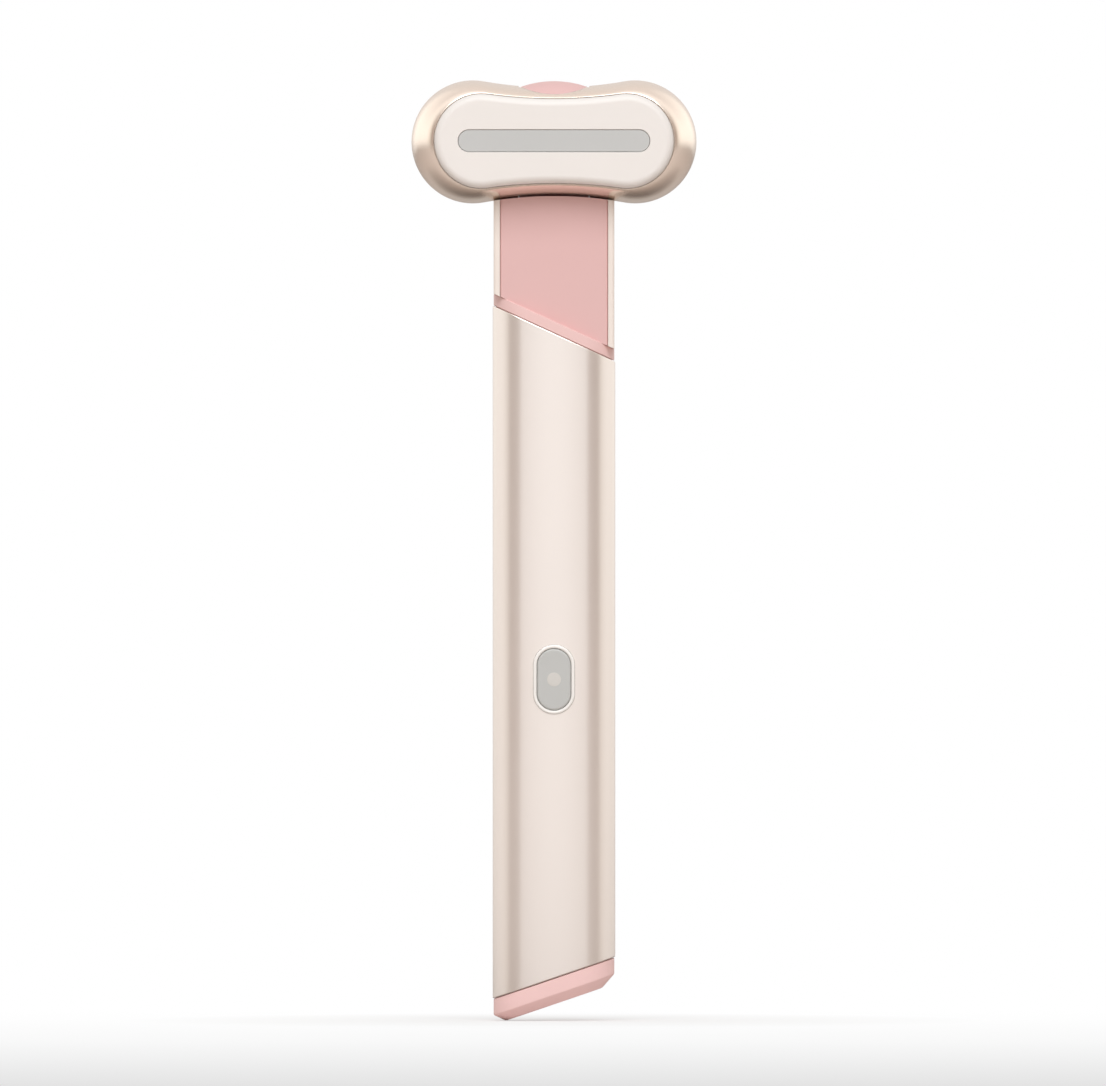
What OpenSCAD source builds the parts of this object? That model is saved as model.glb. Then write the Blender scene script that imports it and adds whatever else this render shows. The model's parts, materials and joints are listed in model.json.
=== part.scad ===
// Heated eye massager wand: a slim handle with a button, and a dog-bone heated head that tilts
// on a knuckle at the top of the neck. Millimetres.
// +Z runs up the handle, the treatment face looks towards -Y and X runs along the head.
// The origin lies at the height of the end cap's lowest tip, in the middle of width and depth.

/* [Handle tube] */
// Width of the handle across its front
handle_w = 19.6; // [19:0.1:21]
// Depth of the handle, from the crowned front to the flat back
handle_d = 14.6; // [14:0.1:16]
// Radius of the handle's four long corners
corner_r = 5.4; // [4.8:0.1:5.8]
// Radius of the crowned front
crown_r = 40; // [30:5:80]
// Wall of the extruded tube
tube_wall = 1; // [0.8:0.05:1.2]
// Length of the tube along its middle line
tube_len = 103; // [98:1:120]
// Slant of the tube's upper mouth, in degrees
mouth_slant = 24.6; // [15:0.2:26]
// Slant of the tube's lower mouth and of the end cap, in degrees
foot_slant = 18.8; // [12:0.2:21]

/* [Collar and end cap] */
// Height of the collar's visible band, square to its slant
collar_h = 1.8; // [1.2:0.1:3]
// How far the collar, the neck and the end cap stand in from the tube's surface
band_step = 0.15; // [0.1:0.05:0.3]
// Depth of the collar's and the end cap's plugs inside the tube
plug_depth = 5.5; // [4:0.5:7]
// Height of the end cap's upright band, square to its slant
cap_band = 2.5; // [1.5:0.1:4]
// Height of the end cap's bevel, square to its slant
cap_bevel_h = 1.5; // [0.8:0.1:2]
// How far the end cap's bevel draws in
cap_bevel_in = 1.85; // [1:0.05:2.2]
// Thickness of the end cap's floor
cap_floor = 2.2; // [1.6:0.1:3]

/* [Neck] */
// Height of the hinge axis above the middle of the tube's upper mouth
neck_rise = 30.7; // [28:0.1:36]
// Depth of the neck
neck_d = 11.8; // [10.8:0.1:12.4]
// Width of the cream rails at the neck's sides
rail_w = 1; // [0.8:0.05:1.4]
// How far the pink panel lies behind the rails' front edges
panel_drop = 0.3; // [0.1:0.05:0.6]
// Thickness of the neck's front panel
panel_t = 1.6; // [1.2:0.1:2.2]
// Thickness of the back cover's rear wall
cover_t = 1.2; // [1:0.1:1.6]

/* [Head] */
// Width of the head over both lobes
head_w = 45.6; // [42:0.2:50]
// Height of the head over a lobe
head_h = 19.68; // [19:0.04:21]
// Height of the head at its waist
waist_h = 17.4; // [17:0.1:18]
// Distance of the treatment face in front of the hinge axis
head_front = 13; // [12.9:0.1:15]
// Wall of the rounded back shells
shell_wall = 2; // [1.6:0.1:2.4]
// Distance of the seam between rim and shells in front of the hinge axis
seam_front = 2.5; // [1.5:0.1:4]
// How far the treatment face stands proud of the rim's crest
plate_proud = 1.8; // [1.2:0.1:2.4]
// Radius of the scoop in the rim's top edge, in front of the knuckle
scoop_r = 10.7; // [8:0.1:14]
// Depth of that scoop below the waist
scoop_depth = 1.2; // [0.6:0.1:1.5]

/* [Face plate] */
// Width of the face plate
plate_w = 38.2; // [36:0.2:39.2]
// Height of the face plate over a lobe
plate_h = 15; // [14.4:0.1:15.4]
// Height of the face plate at its waist
plate_waist = 13.4; // [12.8:0.1:13.8]
// Thickness of the face plate
plate_t = 1; // [0.8:0.1:1.2]
// Size of the plate's rounded edge
plate_edge = 1.2; // [0.8:0.1:1.6]
// Length of the diffuser window
window_w = 30.6; // [24:0.2:31]
// Height of the diffuser window
window_h = 3.5; // [3:0.1:4]
// Number of light emitting diodes behind the window
led_count = 9; // [5:1:9]

/* [Hinge] */
// Width of the knuckle
knuckle_w = 11; // [10:0.1:12]
// Radius of the knuckle's crown, across its width
knuckle_crown = 16; // [12:1:30]
// Rounding of the knuckle's edges
knuckle_edge = 0.5; // [0.3:0.1:0.8]
// How far the knuckle's rim lies below the top of the lobes
knuckle_drop = 0.1; // [0.05:0.05:0.4]
// Gap between the knuckle and the head
hinge_gap = 0.3; // [0.25:0.05:0.4]
// Radius of the hollow axle
axle_r = 2; // [1.8:0.1:2.2]
// Radius of the axle's bore
axle_bore_r = 1.3; // [1.1:0.1:1.4]
// Running clearance of the bushes on the axle, on the radius
running_gap = 0.03; // [0.02:0.01:0.08]
// Wall of the bushes
bush_wall = 1; // [0.8:0.1:1.4]

/* [Button] */
// Height of the button's middle above the origin
button_z = 54.6; // [50:0.2:62]
// Width of the button's face
button_w = 5.4; // [4.8:0.1:6]
// Height of the button's face
button_h = 9.84; // [8:0.04:11]
// Width of the bezel ring round the button
bezel_w = 0.5; // [0.4:0.05:0.8]
// How far the bezel stands proud of the handle's crown
bezel_proud = 0.3; // [0.2:0.05:0.6]
// Clearance between button and bezel
button_gap = 0.1; // [0.08:0.01:0.15]
// Travel of the button
button_travel = 0.3; // [0.2:0.05:0.4]

/* [Inside the handle] */
// Length of the battery
battery_len = 42; // [30:1:42]
// Width of the battery
battery_w = 13; // [10:0.5:13]
// Thickness of the battery
battery_t = 5; // [4:0.1:5]
// Radius of the vibration motor's can
motor_r = 3; // [2.5:0.1:3.1]
// Length of the vibration motor's can
motor_len = 11; // [8:0.5:12]
// Radius of the eccentric weight
weight_r = 2.5; // [2:0.1:2.7]
// Width of the main board
board_w = 14; // [12:0.5:14.5]

/* [Hidden] */
$fn = 64;

// Colours
champagne = [0.93, 0.87, 0.82];
gold = [0.93, 0.84, 0.78];
cream = [0.96, 0.92, 0.88];
pink = [0.91, 0.73, 0.71];
light_pink = [0.95, 0.81, 0.79];
plate_pale = [0.95, 0.92, 0.90];
grey = [0.78, 0.78, 0.77];
steel = [0.72, 0.73, 0.75];
board_green = [0.12, 0.38, 0.24];
black = [0.1, 0.1, 0.11];
white = [0.95, 0.95, 0.94];
copper = [0.80, 0.52, 0.30];

// Small shared clearances
slip = 0.15;    // a piece that slides past another
seat = 0.05;    // a plug in its tube, a cover over its core
big = 200;      // longer than anything here

// Handle: the centres of its corner arcs and of its crown
crown_y = crown_r - handle_d / 2;
corner_x = handle_w / 2 - corner_r;
front_corner_y = crown_y - sqrt(pow(crown_r - corner_r, 2) - pow(corner_x, 2));
back_corner_y = handle_d / 2 - corner_r;
crown_turn = asin(corner_x / (crown_r - corner_r));
crown_steps = 8;
corner_steps = 12;
inner_back_y = handle_d / 2 - tube_wall;

// Heights along the middle line, from the end cap's tip upwards
cap_floor_z = (handle_w / 2 - band_step - cap_bevel_in) * tan(foot_slant);
cap_bevel_z = cap_floor_z + cap_bevel_h / cos(foot_slant);
foot_z = cap_bevel_z + cap_band / cos(foot_slant);
mouth_z = foot_z + tube_len;
collar_top_z = mouth_z + collar_h / cos(mouth_slant);
hinge_z = mouth_z + neck_rise;

// Head: lobes, waist arcs and depth
lobe_r = head_h / 2;
lobe_x = head_w / 2 - lobe_r;
head_out = [lobe_x, lobe_r, waist_h / 2];
rim_gap = 0.2;
plate_out = [plate_w / 2 - plate_h / 2, plate_h / 2, plate_waist / 2];
rim_in = [plate_out[0], plate_out[1] + rim_gap, plate_out[2] + rim_gap];
rim_front = head_front - plate_proud;
hinge_y = (head_front - lobe_r) / 2;    // centres the head over the handle's depth
knuckle_r = lobe_r - knuckle_drop;
slot_x = knuckle_w / 2 + hinge_gap;
slot_r = knuckle_r + hinge_gap;
slot_front = 6.6;                       // where the knuckle's slot ends, in front of the axis
stem_half = neck_d / 2 - hinge_y;       // half depth of the knuckle's stem

// Layers of the face, as distances in front of the hinge axis
plate_back = head_front - plate_t;
ledge_front = rim_front - 2;
ledge_t = 1;
gasket_t = 0.4;
film_t = 0.2;
window_sink = 0.1;
window_flange_t = 0.4;
window_lip = 0.9;
reflector_t = 0.65;
led_t = 0.55;
board_t = 0.8;
reflector_front = plate_back - window_flange_t;
led_board_front = reflector_front - reflector_t;
led_board_back = led_board_front - board_t;
tab_r = 2.3;
tab_x = plate_out[0] + 3.2;
tab_z = 3.1;
head_screw_r = 0.8;
screw_head_r = 1.5;
screw_head_t = 0.7;
driver_w = 0.3;                         // the cross in a screw's head
driver_len = 1.6;
driver_depth = 0.3;
head_screw_len = 6;
neck_screw_len = 4;
board_screw_r = 0.6;
board_screw_len = 2.2;

// Hinge pieces along X
bush_r = axle_r + running_gap + bush_wall;
boss_len = 2.5;
boss_r = bush_r + 1.8;
clip_x = slot_x + boss_len + 0.2;
clip_t = 0.5;
clip_groove_r = axle_r - 0.3;
axle_half = clip_x + clip_t + 0.6;
washer_t = 0.2;
cable_r = 0.9;
channel_r = 1.5;

// Neck
neck_half_w = handle_w / 2 - band_step;
core_half_w = neck_half_w - rail_w - seat;
panel_y = panel_drop - neck_d / 2;
core_back_y = neck_d / 2 - cover_t - seat;
cover_back_r = 3.4;
rail_front_r = 0.4;
saddle_gap = 0.35;
head_block_h = 7;                       // solid block under the saddle
tang_half_w = 6.8;
tang_t = 3.6;
tang_slot = 2;
tang_len = 8;

// Inside the handle
carrier_inset = tube_wall + slip;
plate_y = -1;                           // front of the carrier's plate
carrier_t = 1.2;
carrier_back_y = plate_y + carrier_t;
carrier_low_z = foot_z + 19;
carrier_top_z = mouth_z - 12;
board_gap = 0.2;
board_back_y = plate_y - board_gap;
board_th = 1;
board_front_y = board_back_y - board_th;
board_top_z = carrier_top_z - 14;
battery_z = carrier_low_z + 2;
sleeve_t = 0.4;                         // the motor's sleeve fills this gap to the tube
motor_y = inner_back_y - motor_r - sleeve_t;
shaft_r = 0.5;
shaft_depth = 4;                        // bore in the motor's can
weight_len = 4;
weight_rise = 0.6;                      // gap between can and weight
battery_gap = 0.2;
battery_y = carrier_back_y + battery_gap;
motor_top_z = carrier_top_z - tang_len - weight_len - 2;
motor_z = motor_top_z - motor_len;
battery_fit = min(battery_len, motor_z - battery_z - 3);    // shortened where the handle is short
tang_y = carrier_back_y;
neck_screw_x = 4.6;
neck_screw_z = carrier_top_z - 3;
board_screw_x = board_w / 2 - 1.9;
switch_size = 4.5;
switch_t = 2;
plunger_r = 1.1;
plunger_out = 0.5;
plunger_low = 1.1;                      // the plunger's foot, above the board
port_wall = 0.3;
port_w = 8.94;
port_h = 3.26;
port_len = 7.3;
port_sink = 0.5;
port_y = board_back_y + port_h / 2;
crown_front_y = -handle_d / 2;
bezel_front_y = crown_front_y - bezel_proud;
button_front_y = crown_front_y - 0.25;
flange_t = 0.6;
flange_out = 0.7;
bezel_lip_w = 0.7;
bezel_lip_t = 0.3;
bezel_out_w = button_w + 2 * (button_gap + bezel_w);
bezel_out_h = button_h + 2 * (button_gap + bezel_w);
lens_r = 1.15;
lens_t = 0.5;
bezel_lip_x = button_w / 2 + button_gap + bezel_w + bezel_lip_w;
crown_inner_r = crown_r - tube_wall;
lip_fall = crown_inner_r - sqrt(crown_inner_r * crown_inner_r - bezel_lip_x * bezel_lip_x);
bezel_back_y = crown_front_y + tube_wall + lip_fall + 0.02 + bezel_lip_t;
flange_front_y = bezel_back_y + seat;

// ---- Shared shapes ----

// Points on an arc, from angle a0 to a1. The last point is left out unless keep_end is 1
function arc_points(cx, cy, r, a0, a1, steps, keep_end = 0) =
    [for (i = [0:steps - 1 + keep_end])
        let (a = a0 + (a1 - a0) * i / steps) [cx + r * cos(a), cy + r * sin(a)]];

// Outline of the handle, drawn in by inset: a crowned front, four corner arcs and a flat back
module handle_outline(inset = 0) {
    r = corner_r - inset;
    polygon(concat(
        arc_points(0, crown_y, crown_r - inset, 270 - crown_turn, 270 + crown_turn, crown_steps),
        arc_points(corner_x, front_corner_y, r, 270 + crown_turn, 360, corner_steps, 1),
        arc_points(corner_x, back_corner_y, r, 0, 90, corner_steps, 1),
        arc_points(-corner_x, back_corner_y, r, 90, 180, corner_steps, 1),
        arc_points(-corner_x, front_corner_y, r, 180, 270 - crown_turn, corner_steps)));
}

// A rectangle from y0 to y1 with its own corner radii at the front and at the back
module rounded_block(half_w, y0, y1, front_r, back_r) {
    for (s = [-1, 1]) {
        translate([s * (half_w - front_r), y0 + front_r]) circle(front_r);
        translate([s * (half_w - back_r), y1 - back_r]) circle(back_r);
    }
    polygon([
        [-half_w + front_r, y0], [half_w - front_r, y0], [half_w, y0 + front_r],
        [half_w, y1 - back_r], [half_w - back_r, y1], [-half_w + back_r, y1],
        [-half_w, y1 - back_r], [-half_w, y0 + front_r]
    ]);
}

// A slot with round ends: width along X, height along Y
module stadium(w, h) {
    long = max(w, h);
    r = min(w, h) / 2;
    turn = w > h ? 90 : 0;
    rotate(turn) {
        for (s = [-1, 1]) translate([0, s * (long / 2 - r)]) circle(r);
        translate([-r, r - long / 2]) square([2 * r, long - 2 * r]);
    }
}

// Radius of the waist arc that touches both lobes. An outline is [lobe x, lobe radius, waist half]
function waist_arc(o) = (o[0] * o[0] + o[2] * o[2] - o[1] * o[1]) / (2 * (o[1] - o[2]));

// Dog-bone outline: two lobes joined by two hollow arcs, drawn in by inset, counter-clockwise
lobe_steps = 28;
waist_steps = 8;
function bone_points(o, inset = 0) =
    let (arc_r = waist_arc(o), tilt = atan(o[0] / (o[2] + arc_r)), r = o[1] - inset)
    concat(
        arc_points(o[0], 0, r, -90 - tilt, 90 + tilt, lobe_steps),
        arc_points(0, o[2] + arc_r, arc_r + inset, -90 + tilt, -90 - tilt, waist_steps),
        arc_points(-o[0], 0, r, 90 - tilt, 270 + tilt, lobe_steps),
        arc_points(0, -o[2] - arc_r, arc_r + inset, 90 + tilt, 90 - tilt, waist_steps));
module dog_bone(o, inset = 0) {
    polygon(bone_points(o, inset));
}

// A solid skinned over rings of equal point count, listed from front to back, with flat ends
module skin(rings) {
    n = len(rings[0]);
    m = len(rings);
    sides = [for (k = [0:m - 2], i = [0:n - 1])
        [k * n + i, (k + 1) * n + i, (k + 1) * n + (i + 1) % n, k * n + (i + 1) % n]];
    front = [for (i = [0:n - 1]) i];
    back = [for (i = [0:n - 1]) m * n - 1 - i];
    polyhedron([for (ring = rings, p = ring) p], concat([front], sides, [back]), convexity = 6);
}

// A closed frame skinned over rings that come back to the first one
module closed_skin(rings) {
    n = len(rings[0]);
    m = len(rings);
    sides = [for (k = [0:m - 1], i = [0:n - 1])
        [k * n + i, ((k + 1) % m) * n + i, ((k + 1) % m) * n + (i + 1) % n, k * n + (i + 1) % n]];
    polyhedron([for (ring = rings, p = ring) p], sides, convexity = 8);
}

// Extrudes an outline drawn in X and Z from y0 forwards to y1 behind it
module along_y(y0, y1) {
    translate([0, y1, 0]) rotate([90, 0, 0]) linear_extrude(y1 - y0) children();
}

// A round bar along X
module bar_x(x0, x1, r) {
    translate([x0, 0, 0]) rotate([0, 90, 0]) cylinder(h = x1 - x0, r = r);
}

// A round bar along Y
module bar_y(y0, y1, r) {
    translate([0, y1, 0]) rotate([90, 0, 0]) cylinder(h = y1 - y0, r = r);
}

// Sweeps a profile of radius and height round a slot outline whose straight stretch is 2 * half
module slot_sweep(half) {
    for (a = [0, 180]) rotate(a) translate([0, half, 0]) rotate_extrude(angle = 180) children();
    for (m = [0, 1]) mirror([m, 0, 0])
        translate([0, half, 0]) rotate([90, 0, 0]) linear_extrude(2 * half) children();
}

// Everything above, or below, a plane that slants along X through height z
module above(z, slant) {
    translate([0, 0, z]) rotate([0, slant, 0]) translate([-big, -big, 0]) cube([2 * big, 2 * big, big]);
}
module below(z, slant) {
    translate([0, 0, z]) rotate([0, slant, 0]) translate([-big, -big, -big]) cube([2 * big, 2 * big, big]);
}

// A length of the handle's section between two slanted planes
module handle_length(inset, z0, slant0, z1, slant1) {
    difference() {
        translate([0, 0, z0 - handle_w]) linear_extrude(z1 - z0 + 2 * handle_w) handle_outline(inset);
        below(z0, slant0);
        above(z1, slant1);
    }
}

// The head's own frame: hinge axis along X through its origin
module at_hinge() {
    translate([0, hinge_y, hinge_z]) children();
}

// The charging port's own frame: +Z goes in, square to the slanted foot
module at_port() {
    translate([0, port_y, cap_floor_z]) rotate([0, -foot_slant, 0]) children();
}

// The button's own frame: X across, Y up the handle, +Z out of the front
module at_button() {
    translate([0, 0, button_z]) rotate([90, 0, 0]) children();
}

// A pan-head screw along Y whose head sits at the origin's front
module screw(r, length) {
    difference() {
        union() {
            bar_y(-screw_head_t, 0, screw_head_r);
            bar_y(-0.1, length, r);
        }
        for (a = [0, 90]) rotate([0, a, 0]) translate([-driver_len / 2, -screw_head_t - 0.1, -driver_w / 2])
            cube([driver_len, driver_depth + 0.1, driver_w]);
    }
}

// ---- Handle ----

module handle_tube() {
    color(champagne) difference() {
        handle_length(0, foot_z, -foot_slant, mouth_z, mouth_slant);
        translate([0, 0, -big / 2]) linear_extrude(2 * big) handle_outline(tube_wall);
        at_button() translate([0, 0, handle_d / 4])
            linear_extrude(handle_d / 2) stadium(bezel_out_w + 2 * seat, bezel_out_h + 2 * seat);
    }
}

module collar() {
    plug_low_z = mouth_z - plug_depth / cos(mouth_slant);
    color(light_pink) difference() {
        union() {
            handle_length(band_step, mouth_z, mouth_slant, collar_top_z, mouth_slant);
            handle_length(tube_wall + seat, plug_low_z, mouth_slant, mouth_z + 0.2, mouth_slant);
        }
        translate([-tang_half_w - slip, tang_y - slip, carrier_top_z - tang_len])
            cube([2 * (tang_half_w + slip), tang_t + 2 * slip, big]);
    }
}

// A thin slice of the end cap, parallel to its foot
module cap_slice(inset, z) {
    handle_length(inset, z, -foot_slant, z + 0.01, -foot_slant);
}

module end_cap() {
    plug_top_z = foot_z + plug_depth / cos(foot_slant);
    floor_top_z = cap_floor_z + cap_floor / cos(foot_slant);
    plug_inset = tube_wall + seat;
    plug_side = 1;
    port_room = 10;
    color(pink) difference() {
        union() {
            hull() {
                cap_slice(band_step, foot_z - 0.01);
                cap_slice(band_step, cap_bevel_z);
                cap_slice(band_step + cap_bevel_in, cap_floor_z);
            }
            handle_length(plug_inset, foot_z - 0.6, -foot_slant, plug_top_z, -foot_slant);
        }
        handle_length(plug_inset + plug_side, floor_top_z, -foot_slant, plug_top_z + 5, -foot_slant);
        at_port() translate([0, 0, -2]) linear_extrude(port_room) stadium(port_w + 2 * slip, port_h + 2 * slip);
    }
}

// ---- Neck ----

// The space the head needs over the neck, at every tilt
module head_space() {
    at_hinge() along_y(-big / 2, big / 2) dog_bone(head_out, -saddle_gap);
    at_hinge() translate([-big / 2, -big / 2, 0]) cube([big, big, big]);
}

// The knuckle: a crowned disc about the hinge axis. Its edge arcs touch the crown's arc
module knuckle_disc() {
    half = knuckle_w / 2;
    edge_x = half - knuckle_edge;
    crown_at = knuckle_r - knuckle_crown;
    turn = asin(edge_x / (knuckle_crown - knuckle_edge));
    edge_at = crown_at + (knuckle_crown - knuckle_edge) * cos(turn);
    rotate([0, 90, 0]) rotate_extrude($fn = 128) polygon(concat(
        [[0, half], [0, -half]],
        arc_points(edge_at, -edge_x, knuckle_edge, -90, -turn, 4),
        arc_points(crown_at, 0, knuckle_crown, -turn, turn, 10),
        arc_points(edge_at, edge_x, knuckle_edge, turn, 90, 4, 1)));
}

module neck_core() {
    block_z = hinge_z - lobe_r - head_block_h;
    stem_low = lobe_r + 3;
    rib_half = 2.8;                     // the rib down the middle, round the cable
    pocket_side = 1.4;
    pocket_floor = 1.5;
    tang_root = 3;
    color(pink) difference() {
        union() {
            difference() {
                translate([-core_half_w, panel_y, collar_top_z - handle_w])
                    cube([2 * core_half_w, core_back_y - panel_y, hinge_z - collar_top_z + handle_w]);
                below(collar_top_z, mouth_slant);
                head_space();
                for (s = [-1, 1]) difference() {
                    translate([s > 0 ? rib_half : pocket_side - core_half_w, panel_y + panel_t, 0])
                        cube([core_half_w - rib_half - pocket_side, neck_d, block_z]);
                    below(collar_top_z + pocket_floor, mouth_slant);
                }
            }
            at_hinge() {
                knuckle_disc();
                translate([-knuckle_w / 2, -stem_half, -stem_low])
                    cube([knuckle_w, stem_half + core_back_y - hinge_y, stem_low]);
            }
            difference() {
                translate([-tang_half_w, tang_y, carrier_top_z - tang_len])
                    cube([2 * tang_half_w, tang_t, collar_top_z + tang_root - carrier_top_z + tang_len]);
                above(collar_top_z + 0.5, mouth_slant);
                translate([-tang_slot, tang_y - 1, carrier_top_z - tang_len - 1])
                    cube([2 * tang_slot, tang_t + 2, mouth_z - carrier_top_z + tang_len - 3]);
            }
        }
        at_hinge() bar_x(-knuckle_w, knuckle_w, axle_r);
        translate([0, hinge_y, carrier_top_z - 6]) cylinder(h = hinge_z - carrier_top_z + 6, r = channel_r);
        for (s = [-1, 1]) translate([s * neck_screw_x, 0, neck_screw_z])
            bar_y(tang_y - 1, tang_y + neck_screw_len - 0.8, head_screw_r);
    }
}

module neck_back_cover() {
    color(cream) difference() {
        translate([0, 0, collar_top_z - handle_w])
        linear_extrude(hinge_z - collar_top_z + handle_w) difference() {
            rounded_block(neck_half_w, -neck_d / 2, neck_d / 2, rail_front_r, cover_back_r);
            translate([-core_half_w - seat, -neck_d])
                square([2 * (core_half_w + seat), 1.5 * neck_d - cover_t]);
        }
        below(collar_top_z, mouth_slant);
        head_space();
        at_hinge() bar_x(-slot_x, slot_x, knuckle_r + slip);
    }
}

// ---- Head ----

// The space the knuckle and its stem need inside the head, at every tilt
module knuckle_space() {
    bar_x(-slot_x, slot_x, slot_r);
    translate([-slot_x, -slot_front, -head_h]) cube([2 * slot_x, 2 * head_h, 2 * head_h]);
}

// The solid of the back shells: half a turn of the dog-bone, then straight to the seam
module shell_form(inset, front) {
    rotate([0, 90, 0]) rotate_extrude(angle = 180, start = 0) intersection() {
        rotate(90) dog_bone(head_out, inset);
        translate([0, -big / 2]) square([big, big]);
    }
    along_y(-front, 0) dog_bone(head_out, inset);
}

// A back shell on the side given by s
module head_shell(s) {
    lip_outer = shell_wall - 0.5;       // the lip that centres the rim
    lip_h = 1.1;
    slot_wall = 1.6;                    // wall beside the knuckle's slot
    difference() {
        union() {
            difference() {
                shell_form(0, seam_front);
                difference() {
                    shell_form(shell_wall, seam_front + 1);
                    translate([-slot_x - slot_wall, -big / 2, -big / 2])
                        cube([2 * (slot_x + slot_wall), big, big]);
                }
            }
            along_y(-seam_front - lip_h, -seam_front + 0.5) difference() {
                dog_bone(head_out, lip_outer + seat);
                dog_bone(head_out, shell_wall + seat);
                translate([-slot_x - shell_wall, -big / 2]) square([2 * (slot_x + shell_wall), big]);
            }
            bar_x(s > 0 ? slot_x : -slot_x - boss_len, s > 0 ? slot_x + boss_len : -slot_x, boss_r);
            intersection() {
                shell_form(0.5, head_front);
                for (z = [-tab_z, tab_z]) translate([s * tab_x, 0, z])
                    bar_y(ledge_t - ledge_front, lobe_r, tab_r - 0.5);
            }
        }
        translate([s > 0 ? slot_x - big : -slot_x, -big / 2, -big / 2]) cube([big, big, big]);
        bar_x(-lobe_x, lobe_x, bush_r);
        for (z = [-tab_z, tab_z]) translate([s * tab_x, 0, z])
            bar_y(-ledge_front - 1, 2, head_screw_r);
    }
}

module head_shell_left() {
    color(gold) at_hinge() head_shell(-1);
}
module head_shell_right() {
    color(gold) at_hinge() head_shell(1);
}

// A ring of the rim: share 0 lies on the head's outline, share 1 on the plate's opening
function rim_ring(share, front) =
    let (outer = bone_points(head_out), inner = bone_points(rim_in))
    [for (i = [0:len(outer) - 1])
        let (p = outer[i] * (1 - share) + inner[i] * share) [p[0], -front, p[1]]];

// The rim is one elliptic sweep from the seam up to its crest at the plate's opening. The ellipse reaches
// a little further in than the opening, so the crest still leans outwards
module head_rim() {
    reach = 1.2;
    steps = 9;
    last = acos(1 - 1 / reach);
    rise = (rim_front - seam_front) / sin(last);
    lip_share = 0.4;
    lip_front = seam_front + 1.5;
    wall_share = 0.8;
    ledge_share = 1.9;
    profile = concat(
        [for (i = [0:steps]) let (a = last * i / steps) [reach * (1 - cos(a)), seam_front + rise * sin(a)]],
        [[1, ledge_front], [ledge_share, ledge_front], [ledge_share, ledge_front - ledge_t],
         [wall_share, ledge_front - ledge_t], [lip_share, lip_front], [lip_share, seam_front]]);
    color(gold) at_hinge() difference() {
        union() {
            closed_skin([for (p = profile) rim_ring(p[0], p[1])]);
            for (sx = [-1, 1], sz = [-1, 1]) translate([sx * tab_x, 0, sz * tab_z])
                bar_y(-ledge_front, ledge_t - ledge_front, tab_r);
        }
        knuckle_space();
        translate([0, 0, waist_h / 2 - scoop_depth + scoop_r]) bar_y(-head_front, 0, scoop_r);
        for (sx = [-1, 1], sz = [-1, 1]) translate([sx * tab_x, 0, sz * tab_z])
            bar_y(-head_front, 0, head_screw_r + slip);
    }
}

module face_plate() {
    edge_front = head_front - plate_edge;
    color(plate_pale) at_hinge() difference() {
        skin(concat(
            [for (a = [90:-15:0]) [for (p = bone_points(plate_out, plate_edge * (1 - cos(a))))
                [p[0], -edge_front - plate_edge * sin(a), p[1]]]],
            [[for (p = bone_points(plate_out)) [p[0], -ledge_front - gasket_t, p[1]]]]));
        along_y(-plate_back, 0) dog_bone(plate_out, plate_t + 0.1);
        along_y(-head_front - 1, 0) stadium(window_w + 2 * seat, window_h + 2 * seat);
    }
}

module led_window() {
    color(grey) at_hinge() {
        along_y(window_sink - head_front, -plate_back) stadium(window_w, window_h);
        along_y(-plate_back, -reflector_front) stadium(window_w + 2 * window_lip, window_h + 2 * window_lip);
    }
}

module plate_gasket() {
    color(black) at_hinge() along_y(-ledge_front - gasket_t, -ledge_front) difference() {
        dog_bone(plate_out, 0.05);
        dog_bone(plate_out, plate_t + 0.1);
    }
}

module heater_film() {
    hole_w = window_w + 2 * window_lip + 2 * slip;
    color(copper) at_hinge() along_y(-plate_back, film_t - plate_back) difference() {
        dog_bone(plate_out, plate_t + 0.4);
        stadium(hole_w, window_h + 2 * window_lip + 2 * slip);
    }
}

module thermistor() {
    bead_r = 0.45;
    bead_x = 7.5;
    bead_t = 0.6;
    color(black) at_hinge() translate([bead_x, 0, plate_out[2] - plate_t - 1])
        bar_y(film_t - plate_back, film_t - plate_back + bead_t, bead_r);
}

module led_reflector() {
    color(white) at_hinge() along_y(-reflector_front, -led_board_front) difference() {
        stadium(window_w + 2 * window_lip, window_h + 2 * window_lip);
        stadium(window_w - 0.4, window_h - 0.8);
    }
}

module leds() {
    led_w = 2;
    led_h = 1.6;
    end_room = 2.5;
    pitch = (window_w - 2 * end_room) / (led_count - 1);
    color([0.95, 0.85, 0.45]) at_hinge() for (i = [0:led_count - 1])
        translate([(i - (led_count - 1) / 2) * pitch - led_w / 2, -led_board_front - led_t, -led_h / 2])
            cube([led_w, led_t, led_h]);
}

module led_board() {
    led_board_h = 6;
    led_board_out = 1.2;
    color(board_green) at_hinge() along_y(-led_board_front, -led_board_back)
        stadium(window_w + 2 * led_board_out, led_board_h);
}

module head_leads() {
    lead_x = axle_half + 1.2;
    lead_r = 0.45;
    apart = 0.55;
    color([0.75, 0.15, 0.12]) at_hinge() for (z = [-apart, apart]) translate([lead_x, 0, z]) {
        bar_y(-led_board_back, 0, lead_r);
        sphere(lead_r);
    }
}

module head_screws() {
    color(steel) at_hinge() for (sx = [-1, 1], sz = [-1, 1])
        translate([sx * tab_x, -ledge_front, sz * tab_z]) screw(head_screw_r, head_screw_len);
}

// ---- Hinge ----

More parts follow.
